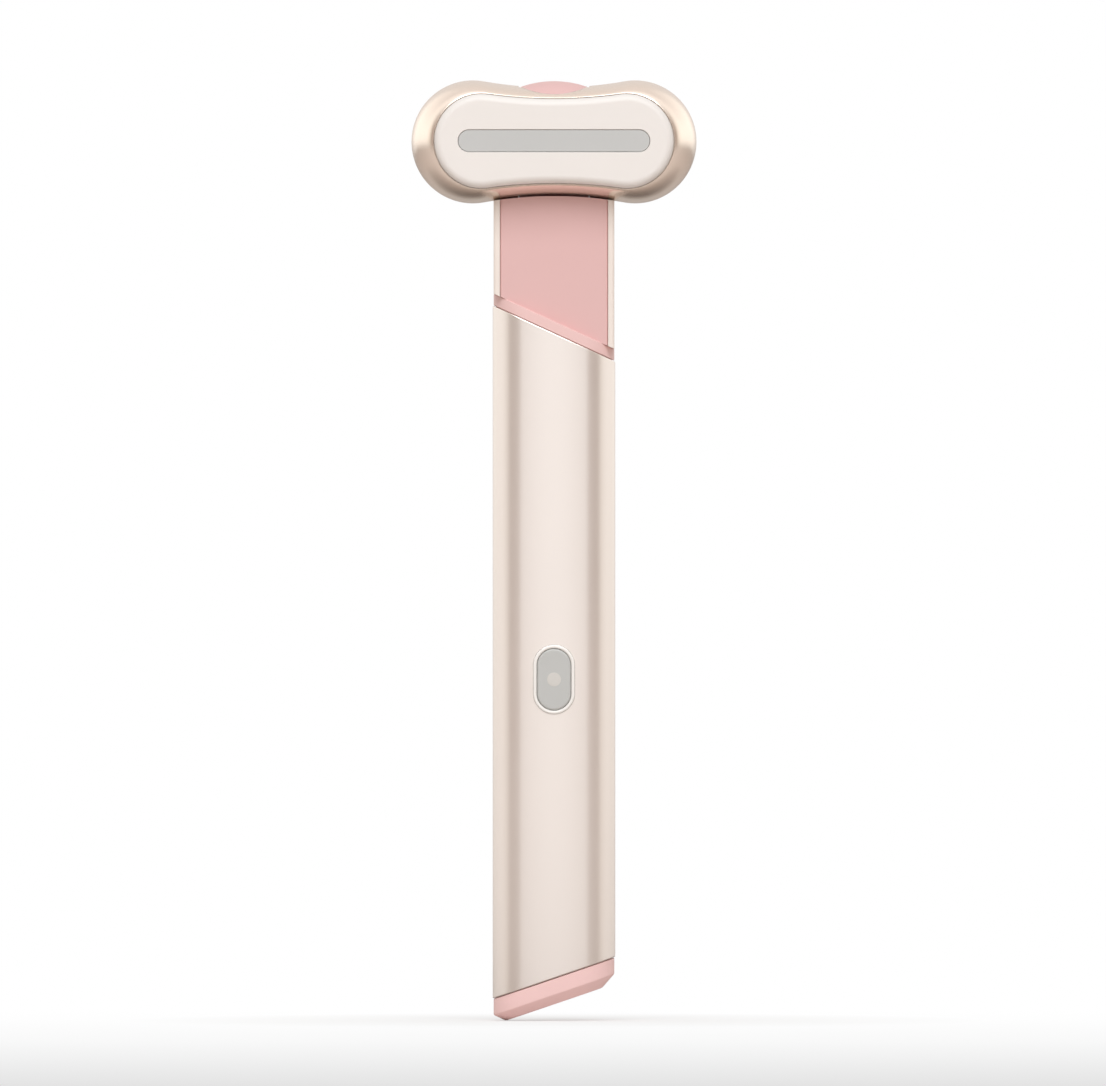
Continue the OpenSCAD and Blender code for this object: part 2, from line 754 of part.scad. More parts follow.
module hinge_axle() {
    color(steel) at_hinge() difference() {
        bar_x(-axle_half, axle_half, axle_r);
        bar_x(-big / 2, big / 2, axle_bore_r);
        translate([0, 0, -axle_r - 1]) cylinder(h = axle_r + 1, r = axle_bore_r);
        for (s = [-1, 1]) translate([s * (clip_x + clip_t / 2), 0, 0]) difference() {
            bar_x(-clip_t / 2, clip_t / 2, axle_r + 1);
            bar_x(-clip_t, clip_t, clip_groove_r);
        }
    }
}

module hinge_bushes() {
    color([0.9, 0.9, 0.86]) at_hinge() for (s = [-1, 1]) difference() {
        bar_x(s > 0 ? slot_x : -slot_x - boss_len, s > 0 ? slot_x + boss_len : -slot_x, bush_r);
        bar_x(-lobe_x, lobe_x, axle_r + running_gap);
    }
}

module friction_washers() {
    middle = knuckle_w / 2 + hinge_gap / 2;
    color([0.35, 0.35, 0.36]) at_hinge() for (s = [-1, 1]) translate([s * middle, 0, 0]) difference() {
        bar_x(-washer_t / 2, washer_t / 2, boss_r);
        bar_x(-washer_t, washer_t, axle_r + running_gap);
    }
}

module axle_clips() {
    clip_wall = 1.2;
    color(steel) at_hinge() for (s = [-1, 1]) translate([s * (clip_x + clip_t / 2), 0, 0]) difference() {
        bar_x(-clip_t / 2, clip_t / 2, axle_r + clip_wall);
        bar_x(-clip_t, clip_t, clip_groove_r);
        translate([-clip_t, -clip_groove_r * 0.8, 0]) cube([2 * clip_t, 1.6 * clip_groove_r, axle_r + 2]);
    }
}

// A round cable through the given points
module cable(points, r) {
    for (i = [0:len(points) - 2]) {
        run = points[i + 1] - points[i];
        translate(points[i]) rotate([0, acos(run[2] / norm(run)), atan2(run[1], run[0])])
            cylinder(h = norm(run), r = r);
        if (i > 0) translate(points[i]) sphere(r);
    }
}

module head_cable() {
    front_y = board_front_y - 1.5;
    color([0.9, 0.9, 0.92]) cable([
        [0, front_y, board_top_z - 4], [0, front_y, carrier_top_z - 4], [0, hinge_y, carrier_top_z + 2],
        [0, hinge_y, hinge_z], [axle_half, hinge_y, hinge_z]
    ], cable_r);
}

// ---- Inside the handle ----

module chassis() {
    low = carrier_low_z;
    tall = carrier_top_z - low;
    window_half = motor_r + 0.6;
    side_wall = 4.5;                    // depth of the walls round the battery
    end_wall = 1.5;
    standoff_r = 1.6;
    weight_room = 2.5;
    cable_room = 5;
    color([0.25, 0.25, 0.27]) difference() {
        union() {
            intersection() {
                translate([0, 0, low]) linear_extrude(tall) handle_outline(carrier_inset);
                union() {
                    translate([-handle_w, plate_y, low]) cube([2 * handle_w, carrier_t, tall]);
                    for (s = [-1, 1]) translate([s > 0 ? battery_w / 2 + slip : -handle_w, plate_y, low])
                        cube([handle_w - battery_w / 2 - slip, side_wall, battery_z + battery_fit - low]);
                    translate([-handle_w, plate_y, low]) cube([2 * handle_w, side_wall, end_wall]);
                }
            }
            for (p = board_screw_places()) translate([p[0], 0, p[1]])
                bar_y(board_back_y, plate_y + 0.1, standoff_r);
        }
        for (p = board_screw_places()) translate([p[0], 0, p[1]])
            bar_y(board_front_y, carrier_back_y + 1, board_screw_r);
        translate([-window_half, plate_y - 1, motor_z - 0.5])
            cube([2 * window_half, carrier_t + 2, motor_len + weight_len + weight_room]);
        translate([-tang_slot, plate_y - 1, carrier_top_z - cable_room])
            cube([2 * tang_slot, carrier_t + 2, cable_room + 1]);
        for (s = [-1, 1]) translate([s * neck_screw_x, 0, neck_screw_z])
            bar_y(plate_y - 1, carrier_back_y + 1, head_screw_r + slip);
    }
}

function board_screw_places() = [
    for (s = [-1, 1]) [s * board_screw_x, carrier_low_z + 3],
    for (s = [-1, 1]) [s * board_screw_x, board_top_z - 3]
];

module neck_screws() {
    color(steel) for (s = [-1, 1]) translate([s * neck_screw_x, plate_y, neck_screw_z])
        screw(head_screw_r, neck_screw_len);
}

module main_board() {
    low_gap = (cap_floor + 0.4) / cos(foot_slant);
    color(board_green) difference() {
        translate([-board_w / 2, board_front_y, 0]) cube([board_w, board_th, board_top_z]);
        below(cap_floor_z + low_gap, -foot_slant);
        for (p = board_screw_places()) translate([p[0], 0, p[1]])
            bar_y(board_front_y - 1, board_back_y + 1, board_screw_r + 0.2);
    }
}

// A block on the board's front, centred on x and z
module chip(x, z, w, h, t) {
    translate([x - w / 2, board_front_y - t, z - h / 2]) cube([w, t, h]);
}

module board_components() {
    chip_t = 0.9;
    large_chip = 5;
    small_chip = 3;
    coil = 4;
    coil_t = 2;
    plug_w = 5;
    plug_h = 2.9;
    plug_t = 2.6;
    passive_w = 0.8;
    passive_h = 1.6;
    passive_t = 0.5;
    chip_x = 4;
    charger_drop = 2.4;
    low_row_drop = 0.5;
    controller_drop = 22;
    middle_row_drop = 17.8;
    driver_drop = 13;
    sensor_rise = 11.4;
    motor_plug_drop = 10.5;
    head_plug_drop = 5.6;
    color(black) {
        chip(0, carrier_low_z - charger_drop, small_chip, small_chip, chip_t);
        chip(0, button_z - controller_drop, large_chip, large_chip, chip_t);
        chip(-chip_x, button_z - driver_drop, small_chip, coil, chip_t);
        chip(chip_x, button_z - driver_drop, coil, coil, coil_t);
        chip(-chip_x, button_z + sensor_rise, small_chip, coil, chip_t);
        chip(chip_x, board_top_z - motor_plug_drop, coil, plug_h, plug_t);
        chip(0, board_top_z - head_plug_drop, plug_w, plug_h, plug_t);
        for (x = [-4.6, -3, 3.4, 5], z = [carrier_low_z - low_row_drop, button_z - middle_row_drop])
            chip(x, z, passive_w, passive_h, passive_t);
    }
}

module board_screws() {
    color(steel) for (p = board_screw_places()) translate([p[0], board_front_y, p[1]])
        screw(board_screw_r, board_screw_len);
}

module usb_socket() {
    tongue_w = 6.7;
    tongue_t = 0.7;
    tongue_sink = 0.6;
    back_t = 1;
    color(steel) at_port() translate([0, 0, port_sink]) {
        difference() {
            linear_extrude(port_len) stadium(port_w, port_h);
            translate([0, 0, -back_t]) linear_extrude(port_len)
                stadium(port_w - 2 * port_wall, port_h - 2 * port_wall);
        }
        translate([-tongue_w / 2, -tongue_t / 2, tongue_sink]) cube([tongue_w, tongue_t, port_len - back_t]);
    }
}

module tact_switch() {
    well_low = 0.6;
    well_gap = 0.06;
    color([0.3, 0.3, 0.32]) difference() {
        translate([-switch_size / 2, board_front_y - switch_t, button_z - switch_size / 2])
            cube([switch_size, switch_t, switch_size]);
        translate([0, 0, button_z]) bar_y(-handle_d, board_front_y - well_low, plunger_r + well_gap);
    }
}

module switch_plunger() {
    front = board_front_y - switch_t - plunger_out;
    color(black) translate([0, 0, button_z]) bar_y(front, board_front_y - plunger_low, plunger_r);
}

module indicator_led() {
    led_w = 1.6;
    led_h = 0.9;
    led_rise = 3.4;
    light_t = 0.7;
    color(white) translate([-led_w / 2, board_front_y - light_t, button_z + led_rise])
        cube([led_w, light_t, led_h]);
}

module button_bezel() {
    half = (button_h - button_w) / 2;
    inner_r = button_w / 2 + button_gap;
    round_r = bezel_w / 2;
    color(cream) at_button() slot_sweep(half) {
        translate([inner_r, -bezel_back_y]) square([bezel_w, bezel_back_y - bezel_front_y - round_r]);
        translate([inner_r + round_r, -bezel_front_y - round_r]) circle(round_r);
        translate([inner_r, -bezel_back_y]) square([bezel_w + bezel_lip_w, bezel_lip_t]);
    }
}

module button_cap() {
    half = (button_h - button_w) / 2;
    r = button_w / 2;
    edge = 0.3;
    boss_r = 1.2;
    boss_back_y = board_front_y - switch_t - plunger_out - seat;
    color(grey) at_button() difference() {
        union() {
            slot_sweep(half) {
                translate([0, -flange_front_y - flange_t])
                    square([r - edge, flange_front_y + flange_t - button_front_y]);
                translate([0, -flange_front_y - flange_t])
                    square([r, flange_front_y + flange_t - button_front_y - edge]);
                translate([r - edge, -button_front_y - edge]) circle(edge);
                translate([0, -flange_front_y - flange_t]) square([r + flange_out, flange_t]);
            }
            translate([0, 0, -boss_back_y]) cylinder(h = boss_back_y - flange_front_y, r = boss_r);
        }
        translate([0, 0, -button_front_y - lens_t]) cylinder(h = 2 * lens_t, r = lens_r + 0.02);
    }
}

module button_lens() {
    color([0.88, 0.87, 0.85]) at_button() translate([0, 0, -button_front_y - lens_t])
        cylinder(h = lens_t, r = lens_r);
}

module battery() {
    corner = 1.6;
    color([0.75, 0.77, 0.80]) translate([0, 0, battery_z]) linear_extrude(battery_fit)
        rounded_block(battery_w / 2, battery_y, battery_y + battery_t, corner, corner);
}

module battery_foam() {
    foam_w = 8;
    foam_drop = 4;
    y0 = battery_y + battery_t;
    color([0.2, 0.2, 0.2]) translate([-foam_w / 2, y0, battery_z + foam_drop])
        cube([foam_w, inner_back_y - y0 - seat, battery_fit - 2 * foam_drop]);
}

module motor_can() {
    color(steel) translate([0, motor_y, motor_z]) difference() {
        cylinder(h = motor_len, r = motor_r);
        translate([0, 0, motor_len - shaft_depth]) cylinder(h = shaft_depth + 1, r = shaft_r + running_gap);
    }
}

module motor_sleeve() {
    end_bare = 1;
    color(black) translate([0, motor_y, motor_z + end_bare]) difference() {
        cylinder(h = motor_len - 2 * end_bare, r = motor_r + sleeve_t - seat);
        translate([0, 0, -1]) cylinder(h = motor_len, r = motor_r);
    }
}

module motor_rotor() {
    shaft_end = 0.3;                    // free end play in the can's bore
    flat_y = 0.8;                       // the weight is cut away behind this
    color(steel) translate([0, motor_y, motor_top_z]) {
        translate([0, 0, shaft_end - shaft_depth])
            cylinder(h = shaft_depth - shaft_end + weight_len + 1, r = shaft_r);
        translate([0, 0, weight_rise]) difference() {
            cylinder(h = weight_len, r = weight_r);
            translate([-weight_r - 1, flat_y, -1]) cube([2 * weight_r + 2, weight_r + 1, weight_len + 2]);
        }
    }
}

handle_tube();
collar();
end_cap();
neck_core();
neck_back_cover();
head_shell_left();
head_shell_right();
head_rim();
face_plate();
led_window();
plate_gasket();
heater_film();
thermistor();
led_reflector();
leds();
led_board();
head_leads();
head_screws();
hinge_axle();
hinge_bushes();
friction_washers();
axle_clips();
head_cable();
chassis();
neck_screws();
main_board();
board_components();
board_screws();
usb_socket();
tact_switch();
switch_plunger();
indicator_led();
button_bezel();
button_cap();
button_lens();
battery();
battery_foam();
motor_can();
motor_sleeve();
motor_rotor();
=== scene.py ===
"""Looks of the heated eye massager wand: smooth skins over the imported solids, and their finishes.

Lengths of the part are millimetres, in its own frame: +Z up the handle, the treatment face towards -Y.
build() turns them into metres. The nodes of floor and world measure in metres.
"""
import json
import math

import bmesh
import bpy
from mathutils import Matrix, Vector


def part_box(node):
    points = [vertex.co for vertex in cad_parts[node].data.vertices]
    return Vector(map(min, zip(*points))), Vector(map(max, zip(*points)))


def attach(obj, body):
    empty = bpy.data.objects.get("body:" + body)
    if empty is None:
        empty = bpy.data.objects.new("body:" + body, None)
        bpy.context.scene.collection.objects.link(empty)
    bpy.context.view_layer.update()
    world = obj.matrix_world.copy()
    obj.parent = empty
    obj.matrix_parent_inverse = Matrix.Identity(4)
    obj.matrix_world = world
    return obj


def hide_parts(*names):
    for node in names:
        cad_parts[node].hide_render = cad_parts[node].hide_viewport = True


MM = 0.001
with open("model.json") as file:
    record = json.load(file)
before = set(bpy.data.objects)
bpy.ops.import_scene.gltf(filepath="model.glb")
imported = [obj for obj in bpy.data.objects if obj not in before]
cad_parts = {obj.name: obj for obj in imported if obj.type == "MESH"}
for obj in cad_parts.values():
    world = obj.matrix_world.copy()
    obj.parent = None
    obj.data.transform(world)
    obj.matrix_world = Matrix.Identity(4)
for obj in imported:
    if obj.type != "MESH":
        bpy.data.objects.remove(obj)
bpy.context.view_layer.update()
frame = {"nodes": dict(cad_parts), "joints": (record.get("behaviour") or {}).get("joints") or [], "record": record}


def box_mm(node):
    """Lowest and highest corner of a CAD node, in millimetres."""
    low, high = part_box(node)
    return [v / MM for v in low], [v / MM for v in high]


# ---- Sizes, read off the frame where it has them ----

# handle
MOUTH_SLANT = math.tan(math.radians(24.6))
FOOT_SLANT = math.tan(math.radians(18.8))
CORNER_R = 5.4
CROWN_R = 40.0
TUBE_WALL = 1.0
BAND_STEP = 0.15        # how far collar and end cap stand back from the tube
PLUG_INSET = 1.1        # the plugs of collar and end cap, inside the tube
GAP_INSET = 0.55        # the floor of the seam between them and the tube
COLLAR_H = 1.98
CAP_BAND = 2.64
CAP_BEVEL_H = 1.585
CAP_BEVEL_IN = 1.85
PORT_W = 9.24
PORT_H = 3.56
SEAM_GAP = 0.12
SLOT_ROOM = 0.06        # the button's slot over its bezel, in width and height

tube_low, tube_high = box_mm("handle_tube")
HALF_W = tube_high[0]
HALF_D = tube_high[1]
MOUTH_Z = tube_high[2] - HALF_W * MOUTH_SLANT
FOOT_Z = tube_low[2] + HALF_W * FOOT_SLANT
COLLAR_TOP_Z = MOUTH_Z + COLLAR_H
CAP_BEVEL_Z = FOOT_Z - CAP_BAND
CAP_FLOOR_Z = CAP_BEVEL_Z - CAP_BEVEL_H

tilt = next(j for j in frame["joints"] if j["name"] == "head_tilt")
HINGE_Y = tilt["pos_m"][1] / MM
HINGE_Z = tilt["pos_m"][2] / MM

# head
rim_low, rim_high = box_mm("head_rim")
plate_low, plate_high = box_mm("face_plate")
LOBE_R = (rim_high[2] - rim_low[2]) / 2
LOBE_X = rim_high[0] - LOBE_R
WAIST = 8.7             # half heights of head and plate at their waists
PLATE_WAIST = 6.7
PLATE_LOBE_R = (plate_high[2] - plate_low[2]) / 2
PLATE_LOBE_X = plate_high[0] - PLATE_LOBE_R
RIM_GAP = 0.14
HEAD_FRONT = HINGE_Y - plate_low[1]     # fronts are distances before the hinge axis
RIM_FRONT = HINGE_Y - rim_low[1]
LEDGE_FRONT = RIM_FRONT - 2
SEAM_FRONT = 2.5        # the seam between rim and back shells
SEAM_EDGE = ((0.16, 0.06), (0.04, 0.1), (0, 0.22))      # a shell's rounded edge there: inset, distance
SCOOP_R = 11.8
SCOOP_DEPTH = 1.2
WINDOW_W = 30.6
WINDOW_H = 3.5
LOBE_STEPS = 72
WAIST_STEPS = 24

# knuckle and neck
KNUCKLE_HALF = 5.5
SLOT_X = KNUCKLE_HALF + 0.14            # half width of the head's slot for the knuckle
KNUCKLE_R = 9.74
KNUCKLE_CROWN = 16.0
KNUCKLE_EDGE = 0.5
HUB_R = 3.0

neck_high = box_mm("neck_back_cover")[1]
NECK_HALF_W = neck_high[0]
NECK_HALF_D = neck_high[1]
RAIL_W = 1.0
PANEL_Y = -NECK_HALF_D + 0.3
COVER_T = 1.2
SADDLE_GAP = 0.05
LAP = 0.02              # how far the neck's skins reach under the collar's top

# button
bezel_low, bezel_high = box_mm("button_bezel")
cap_low = box_mm("button_cap")[0]
BUTTON_Z = (bezel_low[2] + bezel_high[2]) / 2
BUTTON_W = 5.4
BUTTON_H = 9.84
BUTTON_GAP = 0.06
BEZEL_W = 0.56
LENS_R = 1.15


# ---- Mesh helpers ----

def build(name, points, faces):
    """A mesh object from points in millimetres, with its faces turned outwards."""
    mesh = bpy.data.meshes.new(name)
    mesh.from_pydata([(x * MM, y * MM, z * MM) for x, y, z in points], [], faces)
    work = bmesh.new()
    work.from_mesh(mesh)
    bmesh.ops.remove_doubles(work, verts=work.verts, dist=1e-7)
    bmesh.ops.recalc_face_normals(work, faces=work.faces)
    work.to_mesh(mesh)
    work.free()
    obj = bpy.data.objects.new(name, mesh)
    bpy.context.scene.collection.objects.link(obj)
    return obj


def loft(rings, closed=True, caps=True, round_trip=False):
    """Points and faces of a skin over rings of equal count.

    closed joins each ring's ends, caps closes the first and last ring, and round_trip joins those two.
    """
    count = len(rings[0])
    points = [p for ring in rings for p in ring]
    faces = []
    last = len(rings) if round_trip else len(rings) - 1
    around = count if closed else count - 1
    for k in range(last):
        here = k * count
        there = (k + 1) % len(rings) * count
        for i in range(around):
            j = (i + 1) % count
            faces.append((here + i, here + j, there + j, there + i))
    if caps and not round_trip:
        faces.append(tuple(reversed(range(count))))
        faces.append(tuple((len(rings) - 1) * count + i for i in range(count)))
    return points, faces


def join(*parts):
    """Several (points, faces) pairs as one."""
    points = []
    faces = []
    for more_points, more_faces in parts:
        start = len(points)
        points += more_points
        faces += [tuple(i + start for i in face) for face in more_faces]
    return points, faces


def bake(obj):
    """Applies an object's modifiers to its mesh."""
    graph = bpy.context.evaluated_depsgraph_get()
    mesh = bpy.data.meshes.new_from_object(obj.evaluated_get(graph))
    obj.modifiers.clear()
    obj.data = mesh


def cut(obj, *cutters):
    """Cuts the cutters out of obj and deletes them."""
    for cutter in cutters:
        step = obj.modifiers.new("cut", "BOOLEAN")
        step.operation = "DIFFERENCE"
        step.solver = "EXACT"
        step.object = cutter
        bake(obj)
        bpy.data.objects.remove(cutter)


def round_edges(obj, width, angle=40, segments=3):
    """Rounds the edges sharper than angle."""
    step = obj.modifiers.new("round", "BEVEL")
    step.width = width * MM
    step.segments = segments
    step.limit_method = "ANGLE"
    step.angle_limit = math.radians(angle)
    step.use_clamp_overlap = True
    bake(obj)


def smooth(obj, angle=32):
    """Smooth shading, kept crisp at edges sharper than angle, with large faces kept flat."""
    for face in obj.data.polygons:
        face.use_smooth = True
    obj.data.set_sharp_from_angle(angle=math.radians(angle))
    step = obj.modifiers.new("normals", "WEIGHTED_NORMAL")
    step.keep_sharp = True
    step.weight = 60
    bake(obj)


def wear(obj, material, body, slot, *nodes):
    """Gives a finished piece its material and its body, and hides the CAD nodes it stands for. slot is not used.
    """
    obj.data.materials.clear()
    obj.data.materials.append(material)
    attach(obj, body)
    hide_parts(*nodes)
    return obj


# ---- Outlines ----

def arc(cx, cy, r, a0, a1, steps, keep_end=False):
    """Points on an arc from angle a0 to a1 in degrees."""
    turns = [math.radians(a0 + (a1 - a0) * i / steps) for i in range(steps + (1 if keep_end else 0))]
    return [(cx + r * math.cos(a), cy + r * math.sin(a)) for a in turns]


def handle_outline(inset=0.0):
    """The handle's section: a crowned front, four corner arcs and a flat back."""
    crown_y = CROWN_R - HALF_D
    corner_x = HALF_W - CORNER_R
    span = CROWN_R - CORNER_R
    front_y = crown_y - math.sqrt(span ** 2 - corner_x ** 2)
    back_y = HALF_D - CORNER_R
    turn = math.degrees(math.asin(corner_x / span))
    r = CORNER_R - inset
    return (
        arc(0, crown_y, CROWN_R - inset, 270 - turn, 270 + turn, 24)
        + arc(corner_x, front_y, r, 270 + turn, 360, 20, True)
        + arc(corner_x, back_y, r, 0, 90, 20, True)
        + arc(-corner_x, back_y, r, 90, 180, 20, True)
        + arc(-corner_x, front_y, r, 180, 270 - turn, 20)
    )


def slanted_ring(inset, z, slope, rise):
    """The handle's section on a slanted plane: height z + rise at the middle, changing by slope along X."""
    return [(x, y, z + slope * x + rise) for x, y in handle_outline(inset)]


def waist_arc(lobe_x, lobe_r, waist):
    """Radius of the hollow arc that touches both lobes of a dog-bone."""
    return (lobe_x ** 2 + waist ** 2 - lobe_r ** 2) / (2 * (lobe_r - waist))


def bone(lobe_x, lobe_r, waist, inset=0.0):
    """Dog-bone outline in X and Z, drawn in by inset."""
    arc_r = waist_arc(lobe_x, lobe_r, waist)
    lean = math.degrees(math.atan(lobe_x / (waist + arc_r)))
    r = lobe_r - inset
    return (
        arc(lobe_x, 0, r, -90 - lean, 90 + lean, LOBE_STEPS)
        + arc(0, waist + arc_r, arc_r + inset, -90 + lean, -90 - lean, WAIST_STEPS)
        + arc(-lobe_x, 0, r, 90 - lean, 270 + lean, LOBE_STEPS)
        + arc(0, -waist - arc_r, arc_r + inset, 90 + lean, 90 - lean, WAIST_STEPS)
    )


def bone_height(x):
    """Half height of the head's waist at x."""
    arc_r = waist_arc(LOBE_X, LOBE_R, WAIST)
    return WAIST + arc_r - math.sqrt(arc_r ** 2 - x ** 2)


def stadium(w, h, steps=24):
    """A slot outline with round ends, w wide and h high."""
    r = min(w, h) / 2
    reach = abs(w - h) / 2
    if w > h:
        return arc(reach, 0, r, -90, 90, steps, True) + arc(-reach, 0, r, 90, 270, steps, True)
    return arc(0, reach, r, 0, 180, steps, True) + arc(0, -reach, r, 180, 360, steps, True)


def on_face(outline, front):
    """An outline in X and Z placed a distance in front of the hinge axis."""
    return [(x, HINGE_Y - front, HINGE_Z + z) for x, z in outline]


def spread(low, high, steps):
    """Evenly spread numbers from low to high."""
    return [low + (high - low) * i / steps for i in range(steps + 1)]


def cylinder_x(x0, x1, r, steps=128):
    """A round bar along X about the hinge axis."""
    rings = [
        [(x, HINGE_Y + y, HINGE_Z + z) for y, z in arc(0, 0, r, 0, 360, steps)]
        for x in (x0, x1)
    ]
    return loft(rings)


def block(x0, x1, y0, y1, z0, z1):
    """A plain block given from the hinge axis."""
    rings = [
        [(x, HINGE_Y + y, HINGE_Z + z) for y, z in ((y0, z0), (y1, z0), (y1, z1), (y0, z1))]
        for x in (x0, x1)
    ]
    return loft(rings)


# ---- Materials ----

DRIFT = (0.1, 0.9)      # the span of the slow noise over which colour and gloss drift
CLOUD_DETAIL = 4
GRAIN_DETAIL = 2
COAT_ROUGH = 0.15


class Graph:
    """A node tree with short calls. Each adds a node, fills its inputs and gives its output."""

    def __init__(self, tree):
        self.nodes = tree.nodes
        self.links = tree.links

    def put(self, socket, value):
        """Links another node's output to a socket, or sets the socket's own value."""
        if isinstance(value, bpy.types.NodeSocket):
            self.links.new(value, socket)
        else:
            socket.default_value = value

    def fill(self, node, inputs):
        """Fills a node's inputs from socket names or numbers and their values."""
        for socket, value in inputs.items():
            self.put(node.inputs[socket], value)

    def add(self, kind, inputs=None, **settings):
        """A new node with its properties set and its inputs filled."""
        node = self.nodes.new(kind)
        for name, value in settings.items():
            setattr(node, name, value)
        self.fill(node, inputs or {})
        return node

    def noise(self, scale, detail):
        """A noise that is fixed to the object."""
        place = self.add("ShaderNodeTexCoord").outputs["Object"]
        inputs = {"Vector": place, "Scale": scale, "Detail": detail}
        return self.add("ShaderNodeTexNoise", inputs).outputs["Fac"]

    def maths(self, operation, *values, clamp=False):
        """A calculation with one or two values."""
        inputs = dict(enumerate(values))
        return self.add("ShaderNodeMath", inputs, operation=operation, use_clamp=clamp).outputs["Value"]

    def span(self, value, low, high, to_low=0.0, to_high=1.0, easing="LINEAR"):
        """A clamped map of a value from one span to another."""
        inputs = {"Value": value, "From Min": low, "From Max": high, "To Min": to_low, "To Max": to_high}
        return self.add("ShaderNodeMapRange", inputs, interpolation_type=easing).outputs["Result"]

    def ramp(self, value, steps, easing="EASE"):
        """A colour ramp through (position, level) or (position, colour) steps."""
        node = self.add("ShaderNodeValToRGB", {"Fac": value})
        node.color_ramp.interpolation = easing
        elements = node.color_ramp.elements
        while len(elements) < len(steps):
            elements.new(0.5)
        for element, (at, level) in zip(elements, steps):
            element.position = at
            element.color = (level, level, level, 1) if isinstance(level, float) else (*level, 1)
        return node.outputs["Color"]

    def mix(self, factor, a, b):
        """A blend of two colours."""
        inputs = {"Factor": factor, "A": a, "B": b}
        return self.add("ShaderNodeMix", inputs, data_type="RGBA").outputs["Result"]

    def mix_shader(self, factor, a, b):
        """A blend of two shaders."""
        return self.add("ShaderNodeMixShader", {0: factor, 1: a, 2: b}).outputs["Shader"]


def node_material(name):
    """A new node material, and the graph of its nodes."""
    material = bpy.data.materials.new(name)
    material.use_nodes = True
    return material, Graph(material.node_tree)


def linear(r, g, b):
    """Shader colour of an sRGB colour given in 0 to 255."""
    def channel(v):
        v /= 255
        return v / 12.92 if v <= 0.04045 else ((v + 0.055) / 1.055) ** 2.4
    return [channel(r), channel(g), channel(b)]


def finish_material(name, colour, rough, metallic=0.0, depth=0.02, grain_scale=2500, relief=0.25, coat=0.0,
                    cloud_scale=60, rough_span=0.04, distance=0.01, specular=0.5):
    """A moulded, coated or anodised surface: slow colour drift, wandering gloss and fine grain.

    depth is the colour's drift as a share, rough_span the roughness's drift, and distance the grain's
    height in millimetres.
    """
    material, graph = node_material(name)
    cloud = graph.noise(cloud_scale, CLOUD_DETAIL)
    fine = graph.noise(grain_scale, GRAIN_DETAIL)
    darker = [c * (1 - depth) for c in colour]
    lighter = [min(1, c * (1 + depth)) for c in colour]
    grain = graph.add("ShaderNodeBump", {"Height": fine, "Strength": relief, "Distance": distance * MM})
    graph.fill(graph.nodes["Principled BSDF"], {
        "Base Color": graph.ramp(cloud, [(DRIFT[0], darker), (DRIFT[1], lighter)]),
        "Roughness": graph.span(cloud, *DRIFT, rough - rough_span, rough + rough_span, "SMOOTHSTEP"),
        "Normal": grain.outputs["Normal"],
        "Metallic": metallic,
        "Coat Weight": coat,
        "Coat Roughness": COAT_ROUGH,
        "Specular IOR Level": specular,
    })
    return material


champagne = finish_material("champagne_anodised", linear(244, 236, 231), 0.30, metallic=0.8, depth=0.008,
                            grain_scale=4000, relief=0.06, rough_span=0.015, distance=0.003)
gold = finish_material("champagne_gold", linear(248, 234, 222), 0.24, metallic=0.85, depth=0.008,
                       grain_scale=5000, relief=0.06, rough_span=0.015, distance=0.003)
light_pink = finish_material("light_pink", linear(243, 205, 201), 0.42, depth=0.012, specular=0.3)
pink = finish_material("pink", linear(232, 191, 188), 0.44, depth=0.015, specular=0.3)
cream = finish_material("cream", linear(246, 234, 225), 0.36, depth=0.012, coat=0.2)
# the bezel's cream, painted lighter than the cream of its slot as painted light
cream_painted_lighter = finish_material("cream_painted_lighter", linear(252, 248, 243), 0.36, depth=0.010, coat=0.2)
plate_pale = finish_material("plate_pale", linear(243, 237, 232), 0.46, depth=0.010, relief=0.15,
                             specular=0.4)
window_grey = finish_material("window_grey", linear(202, 202, 200), 0.45, depth=0.015)
button_grey = finish_material("button_grey", linear(198, 198, 195), 0.45, depth=0.02)
lens_pale = finish_material("lens_pale", linear(216, 212, 206), 0.40, depth=0.02)
rubber_black = finish_material("rubber_black", linear(44, 44, 46), 0.7, relief=0.4)
plastic_black = finish_material("plastic_black", linear(50, 50, 53), 0.5)
plastic_white = finish_material("plastic_white", linear(236, 236, 232), 0.45)
copper_film = finish_material("copper_film", linear(205, 140, 92), 0.35, metallic=0.9)
led_clear = finish_material("led_clear", linear(240, 226, 165), 0.2)
board_green = finish_material("board_green", linear(34, 104, 66), 0.4, depth=0.08, cloud_scale=500)
wire_red = finish_material("wire_red", linear(178, 40, 34), 0.45)
wire_pale = finish_material("wire_pale", linear(226, 226, 230), 0.45)
steel = finish_material("steel", linear(196, 198, 202), 0.3, metallic=1.0, depth=0.03)
foil = finish_material("battery_foil", linear(200, 204, 210), 0.38, metallic=0.9, depth=0.04)
brass = finish_material("brass", linear(214, 178, 104), 0.32, metallic=1.0)

SLOT_MATERIALS = {
    "champagne_anodised": champagne, "champagne_gold": gold, "light_pink_plastic": light_pink,
    "pink_plastic": pink, "cream_plastic": cream, "pale_plate": plate_pale, "grey_diffuser": window_grey,
    "grey_button": button_grey, "pale_lens": lens_pale, "black_rubber": rubber_black,
    "black_plastic": plastic_black, "white_plastic": plastic_white, "heater_copper": copper_film,
    "led_lens": led_clear, "circuit_board": board_green, "red_wire": wire_red, "cable_jacket": wire_pale,
    "steel": steel, "battery_foil": foil, "brass": brass,
}


def dress_nodes():
    """Gives each CAD node that stays the material of its slot."""
    for part in frame["record"]["subparts"]:
        obj = frame["nodes"][part["node"]]
        material = SLOT_MATERIALS[part["material_slot"]]
        if not obj.material_slots:
            obj.data.materials.append(material)
        for place in obj.material_slots:
            place.material = material


# ---- Handle ----

